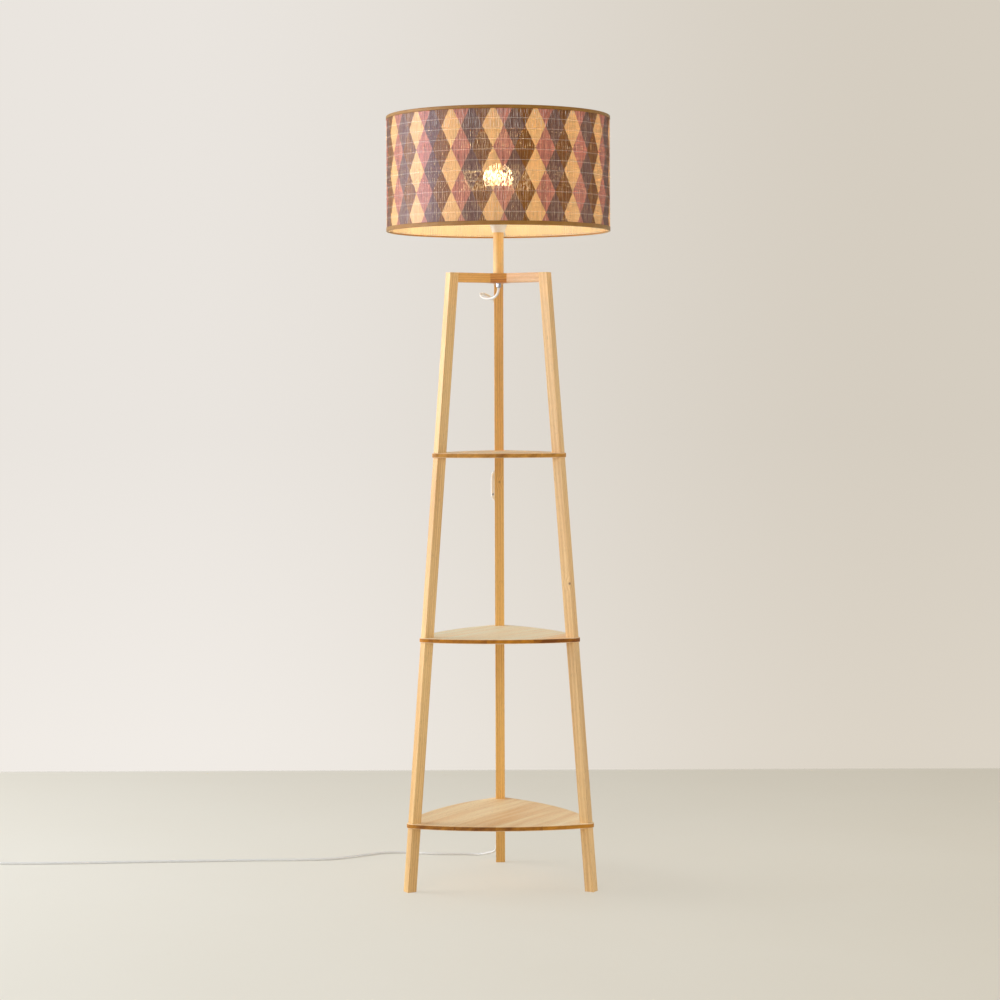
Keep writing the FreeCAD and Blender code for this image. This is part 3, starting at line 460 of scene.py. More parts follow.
def metal(name, colour, rough, grain=120.0):
    n = material_nodes(name)
    fine = n.noise(n.position(), grain, 4.0, 0.6)
    smudge = n.noise(n.position(), 30.0, 2.0)
    shade = n.mix(n.span(smudge, 0.35, 0.65, 0.0, 0.12), tone(*colour), darker(colour, 0.8))
    roughness = n.span(fine, 0.3, 0.7, rough * 0.8, rough * 1.25)
    return n.finish(n.surface(shade, roughness, n.bump(fine, 0.06, 0.0002), Metallic=1.0))


def plastic(name, colour, rough, dirt=0.08, strength=0.05):
    """Moulded plastic with a fine surface texture and a slight unevenness of tone."""
    n = material_nodes(name)
    cloud = n.noise(n.position(), 25.0, 3.0)
    fine = n.noise(n.position(), 900.0, 2.0)
    shade = n.mix(n.span(cloud, 0.35, 0.7, 0.0, dirt), tone(*colour), darker(colour, 0.72))
    roughness = n.span(cloud, 0.3, 0.7, rough * 0.85, rough * 1.15)
    return n.finish(n.surface(shade, roughness, n.bump(fine, strength, 0.0002)))


GLOBE_NECK = (1.395, 1.415)
GLOBE_GLOW = 7.0


def lit_globe(name):
    """Frosted bulb globe, alight, dimmer at its neck."""
    n = material_nodes(name)
    fine = n.noise(n.position(), 900.0, 2.0)
    glow = n.span(n.parts(n.position())[2], *GLOBE_NECK, 0.55, 1.0)
    shader = n.surface(tone(250, 240, 220), 0.45, n.bump(fine, 0.05, 0.0002),
                       Emission_Color=tone(255, 224, 170))
    n.set(shader.node.inputs["Emission Strength"], n.math("MULTIPLY", glow, GLOBE_GLOW))
    return n.finish(shader)


# ---- the shade's slats, threads and tapes, in millimetres ----

SHADE_LOW = 1304.0
SHADE_HIGH = 1535.0
SKIN_INNER = 222.9
SKIN_OUTER = 224.4
TAPE_OUTER = 225.0

SLATS = 620
SLAT_PITCH = 2 * math.pi / SLATS
SLAT_THICK = 0.62
# A slat's blunt-edged section: shares of its width across and of its thickness outwards.
SLAT_SECTION = ((-0.5, -0.34), (0.0, -0.5), (0.5, -0.34), (0.5, 0.34), (0.0, 0.5), (-0.5, 0.34))
SLAT_END = 0.8
# How far even and odd slats stand out, how much of that is left at a stitch, and the unevenness of
# a whole slat and of each section. A section also wanders by a share of the pitch.
SLAT_LIFTS = (-0.13, 0.17)
LIFT_AT_STITCH = 0.6
LIFT_SPREAD = 0.06
SECTION_SPREAD = 0.04
WANDER_AT_STITCH = 0.03
WANDER = 0.13
SEAM_SLATS = 5
SEAM_LIFT = 0.30

STITCH_FIRST = 1309.4
STITCH_STEP = 20.0
STITCHES = 12
LEVELS_PER_STITCH = 6

# The band in front of the bulb, on both sides of the angle FRONT, where a share of the slats stand
# apart, and the heights above it where none do.
LOOSE_LOW = 1369.6
LOOSE_HIGH = 1409.2
LOOSE_HALF = math.radians(16.5)
LOOSE_SHARE = 0.62
FRONT = math.radians(-90.4)
GLOBE_MIDDLE = 1418.0
GLOBE_TOP = 1445.0
# Least and greatest widths of slats, as shares of the pitch.
LOOSE_WIDTHS = (0.56, 0.84)
SNUG_WIDTHS = (0.92, 1.04)
CLOSED_WIDTHS = (0.97, 1.10)
USUAL_WIDTHS = (0.84, 1.03)

# The printed diamonds: a column's angle, the first one's place, and the rows' middle and height.
COLUMN = math.radians(5.341)
COLUMN_START = math.radians(-2.52)
DIAMOND_MIDDLE = 1411.6 * MM
DIAMOND_HALF = 41.85 * MM

# The round threads: half sizes of their section, how far they dip between slats, and how far they
# sway and waver up and down.
THREAD_THICK = 0.24
THREAD_TALL = 0.46
THREAD_DIP = 0.16
THREAD_SWAY = 0.25
THREAD_SPREAD = 0.05
THREAD_OUTER = SKIN_OUTER + 0.06
THREAD_INNER = SKIN_INNER + 0.12
# The seam's stitches: their place, half thickness, how much wider they are along the skin, how deep
# their ends go in and how much finer these are, the parts of one, its length, and the step to the
# next one.
SEAM_TURN = math.pi / 2 - 2.2 * SLAT_PITCH
SEAM_RADIUS = SKIN_OUTER + 0.34
SEAM_THREAD = 0.26
SEAM_FLATTER = 1.2
SEAM_DIVE = 0.5
SEAM_TAPER = 0.6
SEAM_PARTS = 8
SEAM_STITCH = 4.6
SEAM_STEP = 6.6
SEAM_LOW = SHADE_LOW + 10.0
SEAM_HIGH = SHADE_HIGH - 14.0

# The folded tape: its thickness, outer and inner radius, the radii of its two bends, how far its
# middle lies inside the rim, its ripples (size and waves in a turn) and the share of its width that
# the stitching holds flat.
TAPE_THICK = 0.55
TAPE_SKIN = TAPE_OUTER - 0.02
TAPE_INNER = 219.02
TAPE_BEND_OUT = 1.2
TAPE_BEND_IN = 1.6
TAPE_LINE = 0.02
TAPE_STEPS = 240
TAPE_RIPPLES = ((0.10, 23), (0.08, 41))
TAPE_HELD = 0.8


def mesh_object(name, points, faces, smooth=True):
    mesh = bpy.data.meshes.new(name)
    mesh.from_pydata([(x * MM, y * MM, z * MM) for x, y, z in points], [], faces)
    mesh.validate()
    if smooth:
        for face in mesh.polygons:
            face.use_smooth = True
    made = bpy.data.objects.new(name, mesh)
    bpy.context.scene.collection.objects.link(made)
    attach(made, "lamp")
    return made


def stack(points, faces, rings, closed=False):
    """Join rings of equally many points into a closed skin, with end caps unless it runs round.

    Each ring's points run clockwise as seen from the next ring, so that faces look outwards.
    """
    start = len(points)
    size = len(rings[0])
    for ring in rings:
        points.extend(ring)
    last = len(rings) if closed else len(rings) - 1
    for k in range(last):
        here = start + k * size
        there = start + ((k + 1) % len(rings)) * size
        for i in range(size):
            j = (i + 1) % size
            faces.append((here + j, here + i, there + i, there + j))
    if not closed:
        faces.append(tuple(start + i for i in range(size)))
        top = start + (len(rings) - 1) * size
        faces.append(tuple(top + i for i in reversed(range(size))))


def around_point(radius, turn, z):
    return radius * math.cos(turn), radius * math.sin(turn), z


def slat_width(rng, z, angle):
    """A slat's width as a share of the pitch. Light comes through where it is under 1."""
    front = abs((angle - FRONT + math.pi) % (2 * math.pi) - math.pi) < LOOSE_HALF
    if front and LOOSE_LOW < z < LOOSE_HIGH:
        loose = rng.random() < LOOSE_SHARE
        return rng.uniform(*(LOOSE_WIDTHS if loose else SNUG_WIDTHS))
    if GLOBE_MIDDLE < z < GLOBE_TOP:
        return rng.uniform(*CLOSED_WIDTHS)
    return rng.uniform(*USUAL_WIDTHS)


def slat_levels():
    """Heights where a slat has a section: three to a stitch, and six in the loose band."""
    levels = [SHADE_LOW + SLAT_END]
    for step in range(LEVELS_PER_STITCH * (STITCHES - 1) + 1):
        z = STITCH_FIRST + STITCH_STEP * step / LEVELS_PER_STITCH
        if step % 2 == 0 or LOOSE_LOW < z < LOOSE_HIGH:
            levels.append(z)
    return levels + [SHADE_HIGH - SLAT_END]


def make_slats():
    """Straw slats side by side, uneven in width and place, overlapping at the seam at the back."""
    rng = random.Random(11)
    points = []
    faces = []
    levels = slat_levels()
    middle = (SKIN_INNER + SKIN_OUTER) / 2
    back = SLATS // 4
    seam = range(back - SEAM_SLATS, back)
    for order, k in enumerate([*range(SLATS), *seam]):
        base = k * SLAT_PITCH
        lift = SLAT_LIFTS[k % 2] + rng.uniform(-LIFT_SPREAD, LIFT_SPREAD)
        if k in seam:
            lift += SEAM_LIFT if order < SLATS else -SEAM_LIFT
        rings = []
        for z in levels:
            stitched = abs((z - STITCH_FIRST) / STITCH_STEP % 1.0) < 0.01
            reach = WANDER_AT_STITCH if stitched else WANDER
            angle = base + rng.uniform(-reach, reach) * SLAT_PITCH
            width = SLAT_PITCH * slat_width(rng, z, base)
            radius = middle + lift * (LIFT_AT_STITCH if stitched else 1.0)
            radius += rng.uniform(-SECTION_SPREAD, SECTION_SPREAD)
            rings.append([
                around_point(radius + out * SLAT_THICK, angle + across * width, z)
                for across, out in SLAT_SECTION])
        stack(points, faces, rings)
    made = mesh_object("shade_slats", points, faces, smooth=False)
    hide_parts("shade_skin")
    return made


def add_round_threads(points, faces):
    """Two threads on each stitch line, outside and inside the slats, that dip between them."""
    rng = random.Random(5)
    steps = SLATS * 2
    for line in range(STITCHES):
        level = STITCH_FIRST + STITCH_STEP * line
        for radius, way in ((THREAD_OUTER, 1), (THREAD_INNER, -1)):
            rings = []
            sway = rng.uniform(0, 6.28)
            for k in range(steps):
                turn = 2 * math.pi * k / steps
                dip = -THREAD_DIP if k % 2 else 0.0
                height = level + THREAD_SWAY * math.sin(3 * turn + sway)
                height += rng.uniform(-THREAD_SPREAD, THREAD_SPREAD)
                ring = []
                for side in range(4):
                    lean = math.pi / 4 + math.pi / 2 * side
                    reach = radius + way * dip + THREAD_THICK * math.cos(lean)
                    ring.append(around_point(reach, turn, height + THREAD_TALL * math.sin(lean)))
                rings.append(ring)
            stack(points, faces, rings, closed=True)


def add_seam_stitches(points, faces):
    """A column of short upright stitches along the seam, each let into the slats at both ends."""
    level = SEAM_LOW
    while level < SEAM_HIGH:
        rings = []
        for part in range(SEAM_PARTS + 1):
            rise = part / SEAM_PARTS
            from_middle = abs(2 * rise - 1)
            out = SEAM_RADIUS - SEAM_DIVE * from_middle ** 3
            fine = SEAM_THREAD * (1 - SEAM_TAPER * from_middle ** 4)
            ring = []
            for side in range(6):
                lean = math.pi / 3 * side
                turn = SEAM_TURN - fine * SEAM_FLATTER * math.sin(lean) / SEAM_RADIUS
                ring.append(around_point(
                    out + fine * math.cos(lean), turn, level + SEAM_STITCH * rise))
            rings.append(ring)
        stack(points, faces, rings)
        level += SEAM_STEP


def make_threads():
    points = []
    faces = []
    add_round_threads(points, faces)
    add_seam_stitches(points, faces)
    return mesh_object("shade_threads", points, faces)


def tape_profile(fold, width):
    """The tape's outer side from edge to edge over the rim, as pairs of radius and depth."""
    bend_out = TAPE_SKIN - TAPE_BEND_OUT
    bend_in = TAPE_INNER + TAPE_BEND_IN
    quarter = [math.pi / 2 * k / 4 for k in range(1, 4)]
    profile = [(TAPE_SKIN, width - (width - TAPE_BEND_OUT) * k / 4) for k in range(5)]
    for turn in quarter:
        profile.append((
            bend_out + TAPE_BEND_OUT * math.cos(turn), TAPE_BEND_OUT * (1 - math.sin(turn))))
    profile += [(bend_out, TAPE_LINE), (bend_in, TAPE_LINE)]
    for turn in quarter:
        profile.append((
            bend_in - TAPE_BEND_IN * math.sin(turn), TAPE_BEND_IN * (1 - math.cos(turn))))
    profile += [(TAPE_INNER, TAPE_BEND_IN + fold * k / 3) for k in range(4)]
    return profile


def tape_section(rim, inward, fold, width):
    """The tape's closed section: its outer side, and back along its inner one."""
    profile = [(radius, rim + inward * depth) for radius, depth in tape_profile(fold, width)]
    section = list(profile)
    for index in reversed(range(len(profile))):
        before = profile[max(index - 1, 0)]
        after = profile[min(index + 1, len(profile) - 1)]
        way = Vector((after[0] - before[0], after[1] - before[1])).normalized()
        side = Vector((-way.y, way.x)) * inward * TAPE_THICK
        section.append((profile[index][0] - side.x, profile[index][1] - side.y))
    if inward > 0:
        section.reverse()
    return section


def make_tape(name, rim, inward, fold, width):
    """Bias tape folded over a rim of the shade and the wire inside it, rippled at its free edge."""
    section = tape_section(rim, inward, fold, width)
    rng = random.Random(len(name) + int(rim))
    starts = [rng.uniform(0, 6.28) for _ in TAPE_RIPPLES]
    rings = []
    for k in range(TAPE_STEPS):
        turn = 2 * math.pi * k / TAPE_STEPS
        ripple = sum(
            size * math.sin(waves * turn + start)
            for (size, waves), start in zip(TAPE_RIPPLES, starts))
        ring = []
        for radius, z in section:
            free = max(0.0, abs(z - rim) / width - TAPE_HELD) / (1 - TAPE_HELD)
            ring.append(around_point(radius, turn, z + inward * ripple * free))
        rings.append(ring)
    points = []
    faces = []
    stack(points, faces, rings, closed=True)
    tape = mesh_object(name, points, faces)
    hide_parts("shade_tapes")
    return tape


NATURAL = (238, 203, 138)
PRINT_TONES = ((255, 214, 146), (224, 150, 124), (150, 108, 88), (166, 105, 26))
INSIDE_TONES = ((251, 228, 182), (238, 204, 148))
SLAT_TRANSLUCENCE = 0.30
THREAD_CLEAR = 0.76
TAPE_TRANSLUCENCE = 0.12


def slat_material():
    """Straw slats, natural inside and printed outside with rows of diamonds in four tones."""
    n = material_nodes("straw_printed")
    x, y, z, angle = n.around()
    slat_count = n.math("MULTIPLY_ADD", angle, SLATS / (2 * math.pi), 0.5)
    slat = n.math("FLOOR", slat_count)
    own = n.white(slat)
    other = n.white(n.math("ADD", slat, 500.5))
    flat = n.join(n.math("MULTIPLY", angle, SKIN_OUTER * MM), z, 0.0)

    column = n.math("DIVIDE", n.math("SUBTRACT", angle, COLUMN_START), COLUMN)
    row = n.math("DIVIDE", n.math("SUBTRACT", z, DIAMOND_MIDDLE), DIAMOND_HALF)
    row = n.math("ADD", row, n.span(own, 0.0, 1.0, -0.018, 0.018))
    first = n.math("ROUND", n.math("MULTIPLY", n.math("ADD", column, row), 0.5))
    second = n.math("ROUND", n.math("MULTIPLY", n.math("SUBTRACT", column, row), 0.5))
    index = n.math("FLOORED_MODULO", n.math("ADD", first, second), 4.0)
    share = n.math("MULTIPLY_ADD", index, 0.25, 0.125)
    colour = n.ramp(share, [
        (k / 4, tone(*print_tone)) for k, print_tone in enumerate(PRINT_TONES)], constant=True)
    dark_part = n.math("GREATER_THAN", share, 0.2)
    weight = n.math("MULTIPLY_ADD", dark_part, 0.52, 0.48)

    streak = n.noise(n.mapped(flat, scale=(620, 45, 1)), 1.0, 3.0, 0.65)
    broad = n.noise(n.mapped(flat, scale=(130, 9, 1)), 1.0, 2.0)
    bare = n.math("MULTIPLY", n.span(streak, 0.54, 0.76, 0.0, 0.50), dark_part)
    colour = n.mix(bare, colour, tone(*NATURAL))
    # Dark streaks along the slats, strongest on the dark print: partly the straw's own streaks,
    # partly painted shade between the slats.
    dark_streak_and_shade = n.math("MULTIPLY", n.span(streak, 0.28, 0.47, 0.75, 0.0), weight)
    colour = n.mix(dark_streak_and_shade, colour, tone(88, 52, 26))
    level = n.math("ADD", n.span(own, 0.0, 1.0, -0.14, 0.10),
                   n.span(broad, 0.3, 0.7, -0.07, 0.07))
    colour = n.mix(n.math("MAXIMUM", level, 0.0), colour, tone(255, 240, 205))
    below = n.math("MAXIMUM", n.math("MULTIPLY", level, -1.8), 0.0)
    colour = n.mix(n.math("MULTIPLY", below, weight), colour, tone(80, 52, 34))
    # Painted shade: each slat is darkened towards both its sides, where the furrows between slats
    # fall in shade.
    side = n.math("ABSOLUTE", n.math("SUBTRACT", n.math("FRACT", slat_count), 0.5))
    groove_shade = n.math("MULTIPLY", n.span(side, 0.34, 0.5, 0.0, 0.42), weight)
    colour = n.mix(groove_shade, colour, tone(84, 50, 26))

    inside = n.mix(n.span(streak, 0.3, 0.7, 0.0, 0.4),
                   tone(*INSIDE_TONES[0]), tone(*INSIDE_TONES[1]))
    facing = n.vector("DOT_PRODUCT", n.add("TexCoord").outputs["Normal"], n.join(x, y, 0.0))
    colour = n.mix(n.math("GREATER_THAN", facing, -0.02), inside, colour)
    rough = n.span(other, 0.0, 1.0, 0.28, 0.44)
    relief = n.math("ADD", streak, n.math("MULTIPLY", own, 0.3))
    face = n.surface(
        colour, rough, n.bump(relief, 0.5, 0.0003), Specular_IOR_Level=0.55,
        Specular_Tint=(0.70, 0.78, 1.0, 1.0), Sheen_Weight=0.3, Sheen_Roughness=0.35,
        Sheen_Tint=(0.8, 0.82, 1.0, 1.0))
    through = n.shader("BsdfTranslucent", Color=colour)
    return n.finish(n.mix_shader(SLAT_TRANSLUCENCE, face, through))


def thread_material():
    """Clear thread: the slats show through it, and a faint painted glow, not a lamp, keeps it pale.
    """
    n = material_nodes("stitch_thread")
    _, _, z, angle = n.around()
    twist = n.math("ADD", n.math("MULTIPLY", angle, 1200.0), n.math("MULTIPLY", z, 6000.0))
    twist = n.math("SINE", twist)
    colour = n.mix(n.span(twist, -1.0, 1.0, 0.0, 0.4), tone(255, 246, 232), tone(240, 226, 208))
    # The emission is a painted glow: it stands in for the shade's light scattered in the thread.
    face = n.surface(
        colour, 0.28, n.bump(twist, 0.3, 0.0001), Specular_IOR_Level=1.0, Sheen_Weight=0.6,
        Sheen_Roughness=0.3, Emission_Strength=0.22, Emission_Color=tone(255, 222, 176))
    return n.finish(n.mix_shader(THREAD_CLEAR, face, n.shader("BsdfTransparent")))


def tape_material():
    """Woven cotton tape cut on the bias."""
    n = material_nodes("bias_tape")
    _, _, z, angle = n.around()
    arc = n.math("MULTIPLY", angle, TAPE_OUTER * MM)
    warp = n.math("SINE", n.math("MULTIPLY", n.math("ADD", arc, z), 7000.0))
    weft = n.math("SINE", n.math("MULTIPLY", n.math("SUBTRACT", arc, z), 7000.0))
    weave = n.math("MULTIPLY", warp, weft)
    cloud = n.noise(n.join(arc, z, 0.0), 60.0, 3.0)
    colour = n.mix(n.span(weave, -1.0, 1.0, 0.0, 0.45), tone(176, 117, 24), tone(126, 76, 6))
    colour = n.mix(n.span(cloud, 0.35, 0.65, 0.0, 0.25), colour, tone(204, 152, 66))
    face = n.surface(
        colour, 0.42, n.bump(weave, 0.4, 0.00015), Sheen_Weight=0.8, Sheen_Roughness=0.3,
        Sheen_Tint=(1.0, 0.84, 0.56, 1.0), Specular_IOR_Level=0.45)
    through = n.shader("BsdfTranslucent", Color=colour)
    return n.finish(n.mix_shader(TAPE_TRANSLUCENCE, face, through))


slats = make_slats()
threads = make_threads()
tapes = [
    make_tape("shade_tape_bottom", SHADE_LOW, 1, 1.6, 8.0),
    make_tape("shade_tape_top", SHADE_HIGH, -1, 5.5, 6.8),
]


# ---- colours of the wooden pieces: pairs of a dark and a light tone ----

LEG_ANGLES = {"rear": 90.0, "left": 210.0, "right": 330.0}
LEG_PARTS = ("foot", "lower", "middle", "upper")
LEG_TONES = {
    "rear": ((202, 142, 66), (244, 198, 120)),
    "left": ((202, 146, 76), (248, 210, 144)),
    "right": ((206, 150, 84), (248, 210, 148)),
}
LEG_CHANGES = {
    "leg_rear_upper": 1.05,
    "leg_rear_middle": 1.03,
    "leg_rear_lower": 1.10,
    "leg_rear_foot": 1.06,
    "leg_left_foot": 0.96,
}
LEG_KNOTS = {
    "leg_right_middle": (0.1383, -0.0908, 0.604, 0.85),
    "leg_rear_middle": (0.0005, 0.1309, 0.7963, 0.35),
}
ARM_TONES = {
    "rear": ((208, 142, 62), (244, 196, 114)),
    "left": ((208, 142, 62), (244, 196, 114)),
    "right": ((214, 156, 100), (248, 208, 156)),
}
HUB_TONES = ((180, 112, 32), (230, 172, 78))
HUB_GLUE = (1.208, (188, 114, 26))
POST_TONES = ((226, 172, 92), (252, 212, 136))
DOWEL_TONES = ((196, 150, 96), (232, 196, 146))

SHELF_THICK = 0.009
BOARDS_ALONG = (0.5, 0.8660254, 0.0)
BOARDS_ACROSS = (0.8660254, -0.5, 0.0)
# Each shelf: its top, where its first board starts, a board's width, the tones of its faces, the
# tones of its edge, darker partly for its own grain and partly as painted shade, and each board's
# shift in tone.
SHELVES = {
    "shelf_bottom": (
        0.134, -0.088, 0.076, ((230, 180, 122), (255, 232, 188)),
        ((124, 70, 10), (196, 130, 36)), (0.06, -0.02, -0.11, -0.05, 0.16)),
    "shelf_middle": (
        0.4975, -0.1135, 0.0768, ((252, 204, 146), (255, 244, 210)),
        ((124, 66, 0), (204, 130, 20)), (0.07, 0.13, 0.05, 0.10, -0.21)),
    "shelf_top": (
        0.8615, -0.097, 0.072, ((226, 176, 120), (255, 230, 188)),
        ((144, 88, 20), (222, 158, 68)), (0.05, -0.06, 0.04, -0.04, 0.06)),
}


def paint(target, material):
    target.data.materials.clear()
    target.data.materials.append(material)


def paint_wood():
    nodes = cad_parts
    for s, (side, angle) in enumerate(LEG_ANGLES.items()):
        for p, part in enumerate(LEG_PARTS):
            name = "leg_" + side + "_" + part
            rng = random.Random(s * 10 + p)
            change = rng.uniform(0.96, 1.02) * LEG_CHANGES.get(name, 1.0)
            dark, light = [[min(c * change, 255) for c in end] for end in LEG_TONES[side]]
            paint(nodes[name], wood(
                "wood_" + name, leg_axis(angle), s * 10 + p + 1, dark, light,
                knot=LEG_KNOTS.get(name)))
        turn = math.radians(angle)
        paint(nodes["arm_" + side], wood(
            "wood_arm_" + side, (math.cos(turn), math.sin(turn), 0.0), 40 + s, *ARM_TONES[side]))
    paint(nodes["hub"], wood("wood_hub", (1.0, 0.0, 0.0), 51, *HUB_TONES, layers=HUB_GLUE))
    paint(nodes["post"], wood("wood_post", (0, 0, 1), 52, *POST_TONES))
    for k, (name, shelf) in enumerate(SHELVES.items()):
        top, start, width, tones, edge_tones_with_shade, shifts = shelf
        paint(nodes[name], wood(
            "wood_" + name, BOARDS_ALONG, 60 + k, *tones,
            planks=(BOARDS_ACROSS, width, start, shifts), rim=(top, SHELF_THICK, edge_tones_with_shade),
            line=330.0, stripes=0.12, streaks=0.32))
    paint(nodes["frame_dowels"], wood("wood_dowels", (0, 1, 0), 70, *DOWEL_TONES))


def paint_fittings():
    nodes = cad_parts
    vinyl = plastic("cord_vinyl", (232, 231, 228), 0.38, dirt=0.05)
    finishes = (
        (metal("zinc_plated", (190, 192, 196), 0.35),
         ("leg_studs", "stem_tube", "stem_washer", "stem_nut", "terminal_screws",
          "switch_screws", "switch_pin")),
        (metal("brass", (206, 168, 92), 0.3),
         ("leg_inserts", "holder_shell_contact", "holder_centre_contact", "switch_contacts")),
        (metal("bright_plated", (188, 188, 194), 0.12, 60.0),
         ("cord_grip", "bulb_cap", "plug_pins", "bulb_contact")),
        (plastic("holder_white", (248, 243, 232), 0.3),
         ("holder_base", "holder_sleeve", "shade_ring_nut")),
        (plastic("glazed_ceramic", (228, 224, 212), 0.15), ("holder_insert",)),
        (plastic("black_glass", (22, 22, 26), 0.1), ("bulb_insulator",)),
        (plastic("bulb_white", (238, 238, 234), 0.35), ("bulb_housing",)),
        (lit_globe("bulb_lit"), ("bulb_globe",)),
        (plastic("board_white", (230, 230, 222), 0.5), ("bulb_board",)),
        (plastic("coated_wire", (240, 232, 214), 0.4),
         ("shade_wire_top", "shade_wire_bottom", "shade_spider")),
        (vinyl, ("cord_inner",)),
        (plastic("core_brown", (110, 78, 56), 0.4), ("cord_cores",)),
        (plastic("tie_white", (232, 232, 228), 0.5), ("coil_tie",)),
        (plastic("switch_white", (248, 248, 246), 0.3, dirt=0.04, strength=0.08),
         ("switch_base", "switch_cover", "plug_body")),
        (plastic("rocker_white", (232, 231, 226), 0.25), ("switch_rocker",)),
    )
    for finish, names in finishes:
        for name in names:
            paint(nodes[name], finish)
    for cord in cords:
        paint(cord, vinyl)


def paint_shade():
    """The shade's own materials. The globe and the clear threads don't block the bulb's light."""
    paint(slats, slat_material())
    paint(threads, thread_material())
    golden = tape_material()
    for tape in tapes:
        paint(tape, golden)
    threads.visible_shadow = False
    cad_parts["bulb_globe"].visible_shadow = False


paint_wood()
paint_fittings()
paint_shade()


# ---- floor, backdrop and light ----

AMBIENT = 0.42
AMBIENT_COLOUR = (0.97, 0.985, 1.0, 1.0)
WALL_LEFT = tone(234, 229, 223)
WALL_RIGHT = tone(213, 205, 192)
FLOOR_LEFT = tone(235, 231, 220)
FLOOR_RIGHT = tone(222, 214, 197)
FLOOR_FAR = tone(196, 188, 170)
FLOOR_HALF = 1.7
FLOOR_DROP = 0.0002
FLOOR_SIDE = 1.447
FLOOR_FADE = 0.012
FLOOR_SHOWN = 0.6
FLOOR_ACROSS = (-1.0, 1.1)
FLOOR_BACK = (0.2, FLOOR_SIDE)
# Where the wall's tone changes across and down, and how far back reflections begin to show it.
WALL_ACROSS = (-0.14, 0.17)
WALL_DOWN = (-0.02, -0.14)
WALL_MIRRORED = (-0.5, 0.2)
NEUTRAL = (1.0, 0.985, 0.96)
BULB_POWER = 3.0
BULB_COLOUR = (1.0, 0.89, 0.70)
BULB_PLACE = (0.0, 0.0, 1.412)
BULB_RADIUS = 0.026


def make_floor():
    """A pale floor sheet with rounded corners; past its edge the camera sees the backdrop. Its tone
    is painted light: lighter at the left, towards the window, darker to the right and towards the
    back.
    """
    corners = [(-1, -1), (1, -1), (1, 1), (-1, 1)]
    mesh = bpy.data.meshes.new("floor")
    mesh.from_pydata([(x * FLOOR_HALF, y * FLOOR_HALF, 0) for x, y in corners], [], [(0, 1, 2, 3)])
    floor = bpy.data.objects.new("floor", mesh)
    floor.location.z = -FLOOR_DROP
    bpy.context.scene.collection.objects.link(floor)
    n = material_nodes("floor")
    x, y, _ = n.parts(n.position())
    reach = n.math("SMOOTH_MAX", n.math("ABSOLUTE", x), n.math("ABSOLUTE", y), 0.25)
    far = n.span(reach, FLOOR_SIDE - FLOOR_FADE, FLOOR_SIDE + FLOOR_FADE)
    cloud = n.noise(n.position(), 2.5, 2.0)
    # Painted light: the tone runs from light at the left, where the window is, to darker at the
    # right and towards the back.
    across = n.math("ADD", n.span(x, *FLOOR_ACROSS), n.span(cloud, 0.3, 0.7, -0.04, 0.04))
    colour = n.mix(across, FLOOR_LEFT, FLOOR_RIGHT)
    colour = n.mix(n.span(y, *FLOOR_BACK, 0.0, 0.32), colour, FLOOR_FAR)
    camera_ray = n.add("LightPath").outputs["Is Camera Ray"]
    shown = n.mix_shader(n.math("MULTIPLY", camera_ray, FLOOR_SHOWN),
                         n.surface(colour, 0.6), n.shader("Emission", Color=colour))
    paint(floor, n.finish(n.mix_shader(
        n.math("MULTIPLY", far, camera_ray), shown, n.shader("BsdfTransparent"))))


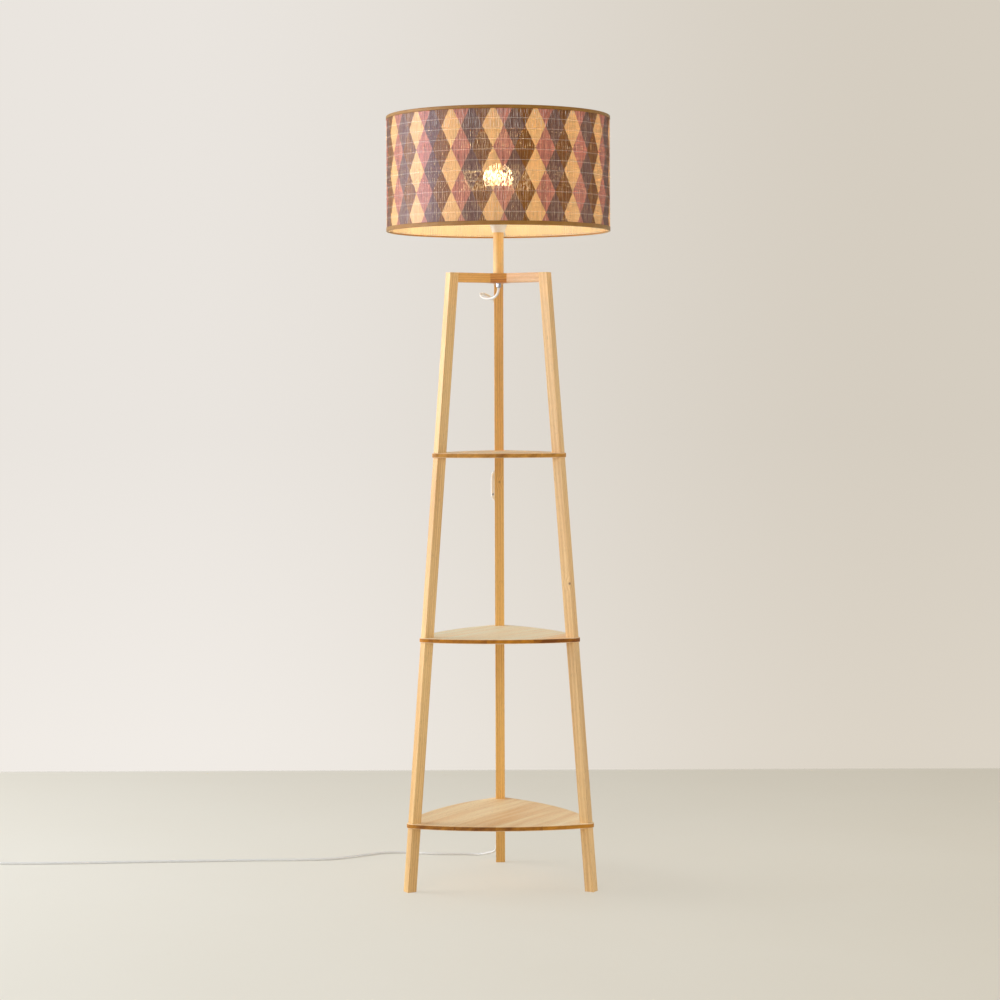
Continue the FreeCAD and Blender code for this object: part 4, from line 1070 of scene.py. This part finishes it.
def make_world():
    """Neutral light all round; the camera and reflections see a pale wall with painted light:
    lighter at the left, towards the window, darker to +X, and a little brighter lower down.
    """
    world = bpy.data.worlds.new("world")
    bpy.context.scene.world = world
    n = Nodes(world, "ShaderNodeOutputWorld")
    x, y, z = n.parts(n.add("TexCoord").outputs["Generated"])
    ambient = n.shader("Background", Color=AMBIENT_COLOUR, Strength=AMBIENT)
    # Painted light on the backdrop: the wall is lighter at the left, towards the window, and darker
    # to +X.
    wall = n.mix(n.span(x, *WALL_ACROSS, smooth=True), WALL_LEFT, WALL_RIGHT)
    shown = n.shader("Background", Color=wall, Strength=n.span(z, *WALL_DOWN, 1.0, 1.07))
    path = n.add("LightPath").outputs
    mirrored = n.math("MULTIPLY", path["Is Glossy Ray"], n.span(y, *WALL_MIRRORED, smooth=True))
    seen = n.math("MAXIMUM", path["Is Camera Ray"], mirrored)
    seen = n.math("MAXIMUM", seen, path["Is Transmission Ray"])
    n.finish(n.mix_shader(seen, ambient, shown))


def area_light(name, place, target, size, power, colour, spread=180.0):
    data = bpy.data.lights.new(name, "AREA")
    data.shape = "RECTANGLE"
    data.size, data.size_y = size
    data.energy = power
    data.color = colour
    data.spread = math.radians(spread)
    light = bpy.data.objects.new(name, data)
    light.location = place
    way = Vector(target) - Vector(place)
    light.rotation_euler = way.to_track_quat("-Z", "Y").to_euler()
    bpy.context.scene.collection.objects.link(light)
    return light


def bulb_light():
    """The bulb's light, from inside its globe, which has its own glow for the camera."""
    data = bpy.data.lights.new("bulb", "POINT")
    data.energy = BULB_POWER
    data.color = BULB_COLOUR
    data.shadow_soft_size = BULB_RADIUS
    data.use_soft_falloff = False
    light = bpy.data.objects.new("bulb", data)
    light.location = BULB_PLACE
    light.visible_camera = False
    light.visible_glossy = False
    bpy.context.scene.collection.objects.link(light)


def make_lights():
    """The window lights the lamp from the left, and the sky beside it shows in reflections only.

    The window stays out of reflections, where it would wash out the shelves seen against it.
    """
    window = area_light(
        "window", place=(-3.7, 0.8, 1.45), target=(0, 0, 1.1), size=(2.9, 2.2), power=146.0,
        colour=(0.955, 0.978, 1.0))
    window.visible_glossy = False
    area_light(
        "front", place=(-1.6, -4.2, 2.4), target=(0, 0, 0.9), size=(2.6, 2.6), power=60.0,
        colour=NEUTRAL)
    area_light(
        "side", place=(3.8, -0.7, 0.6), target=(0, 0, 0.45), size=(1.8, 1.2), power=5.5,
        colour=NEUTRAL, spread=62.0)
    sky = area_light(
        "sky", place=(-3.5, -0.4, 1.5), target=(0, 0, 1.1), size=(4.0, 2.0), power=156.0,
        colour=(0.82, 0.89, 1.0))
    sky.visible_diffuse = False
    bulb_light()


make_floor()
make_world()
make_lights()
bpy.context.scene.view_settings.view_transform = "Standard"

bpy.context.view_layer.update()
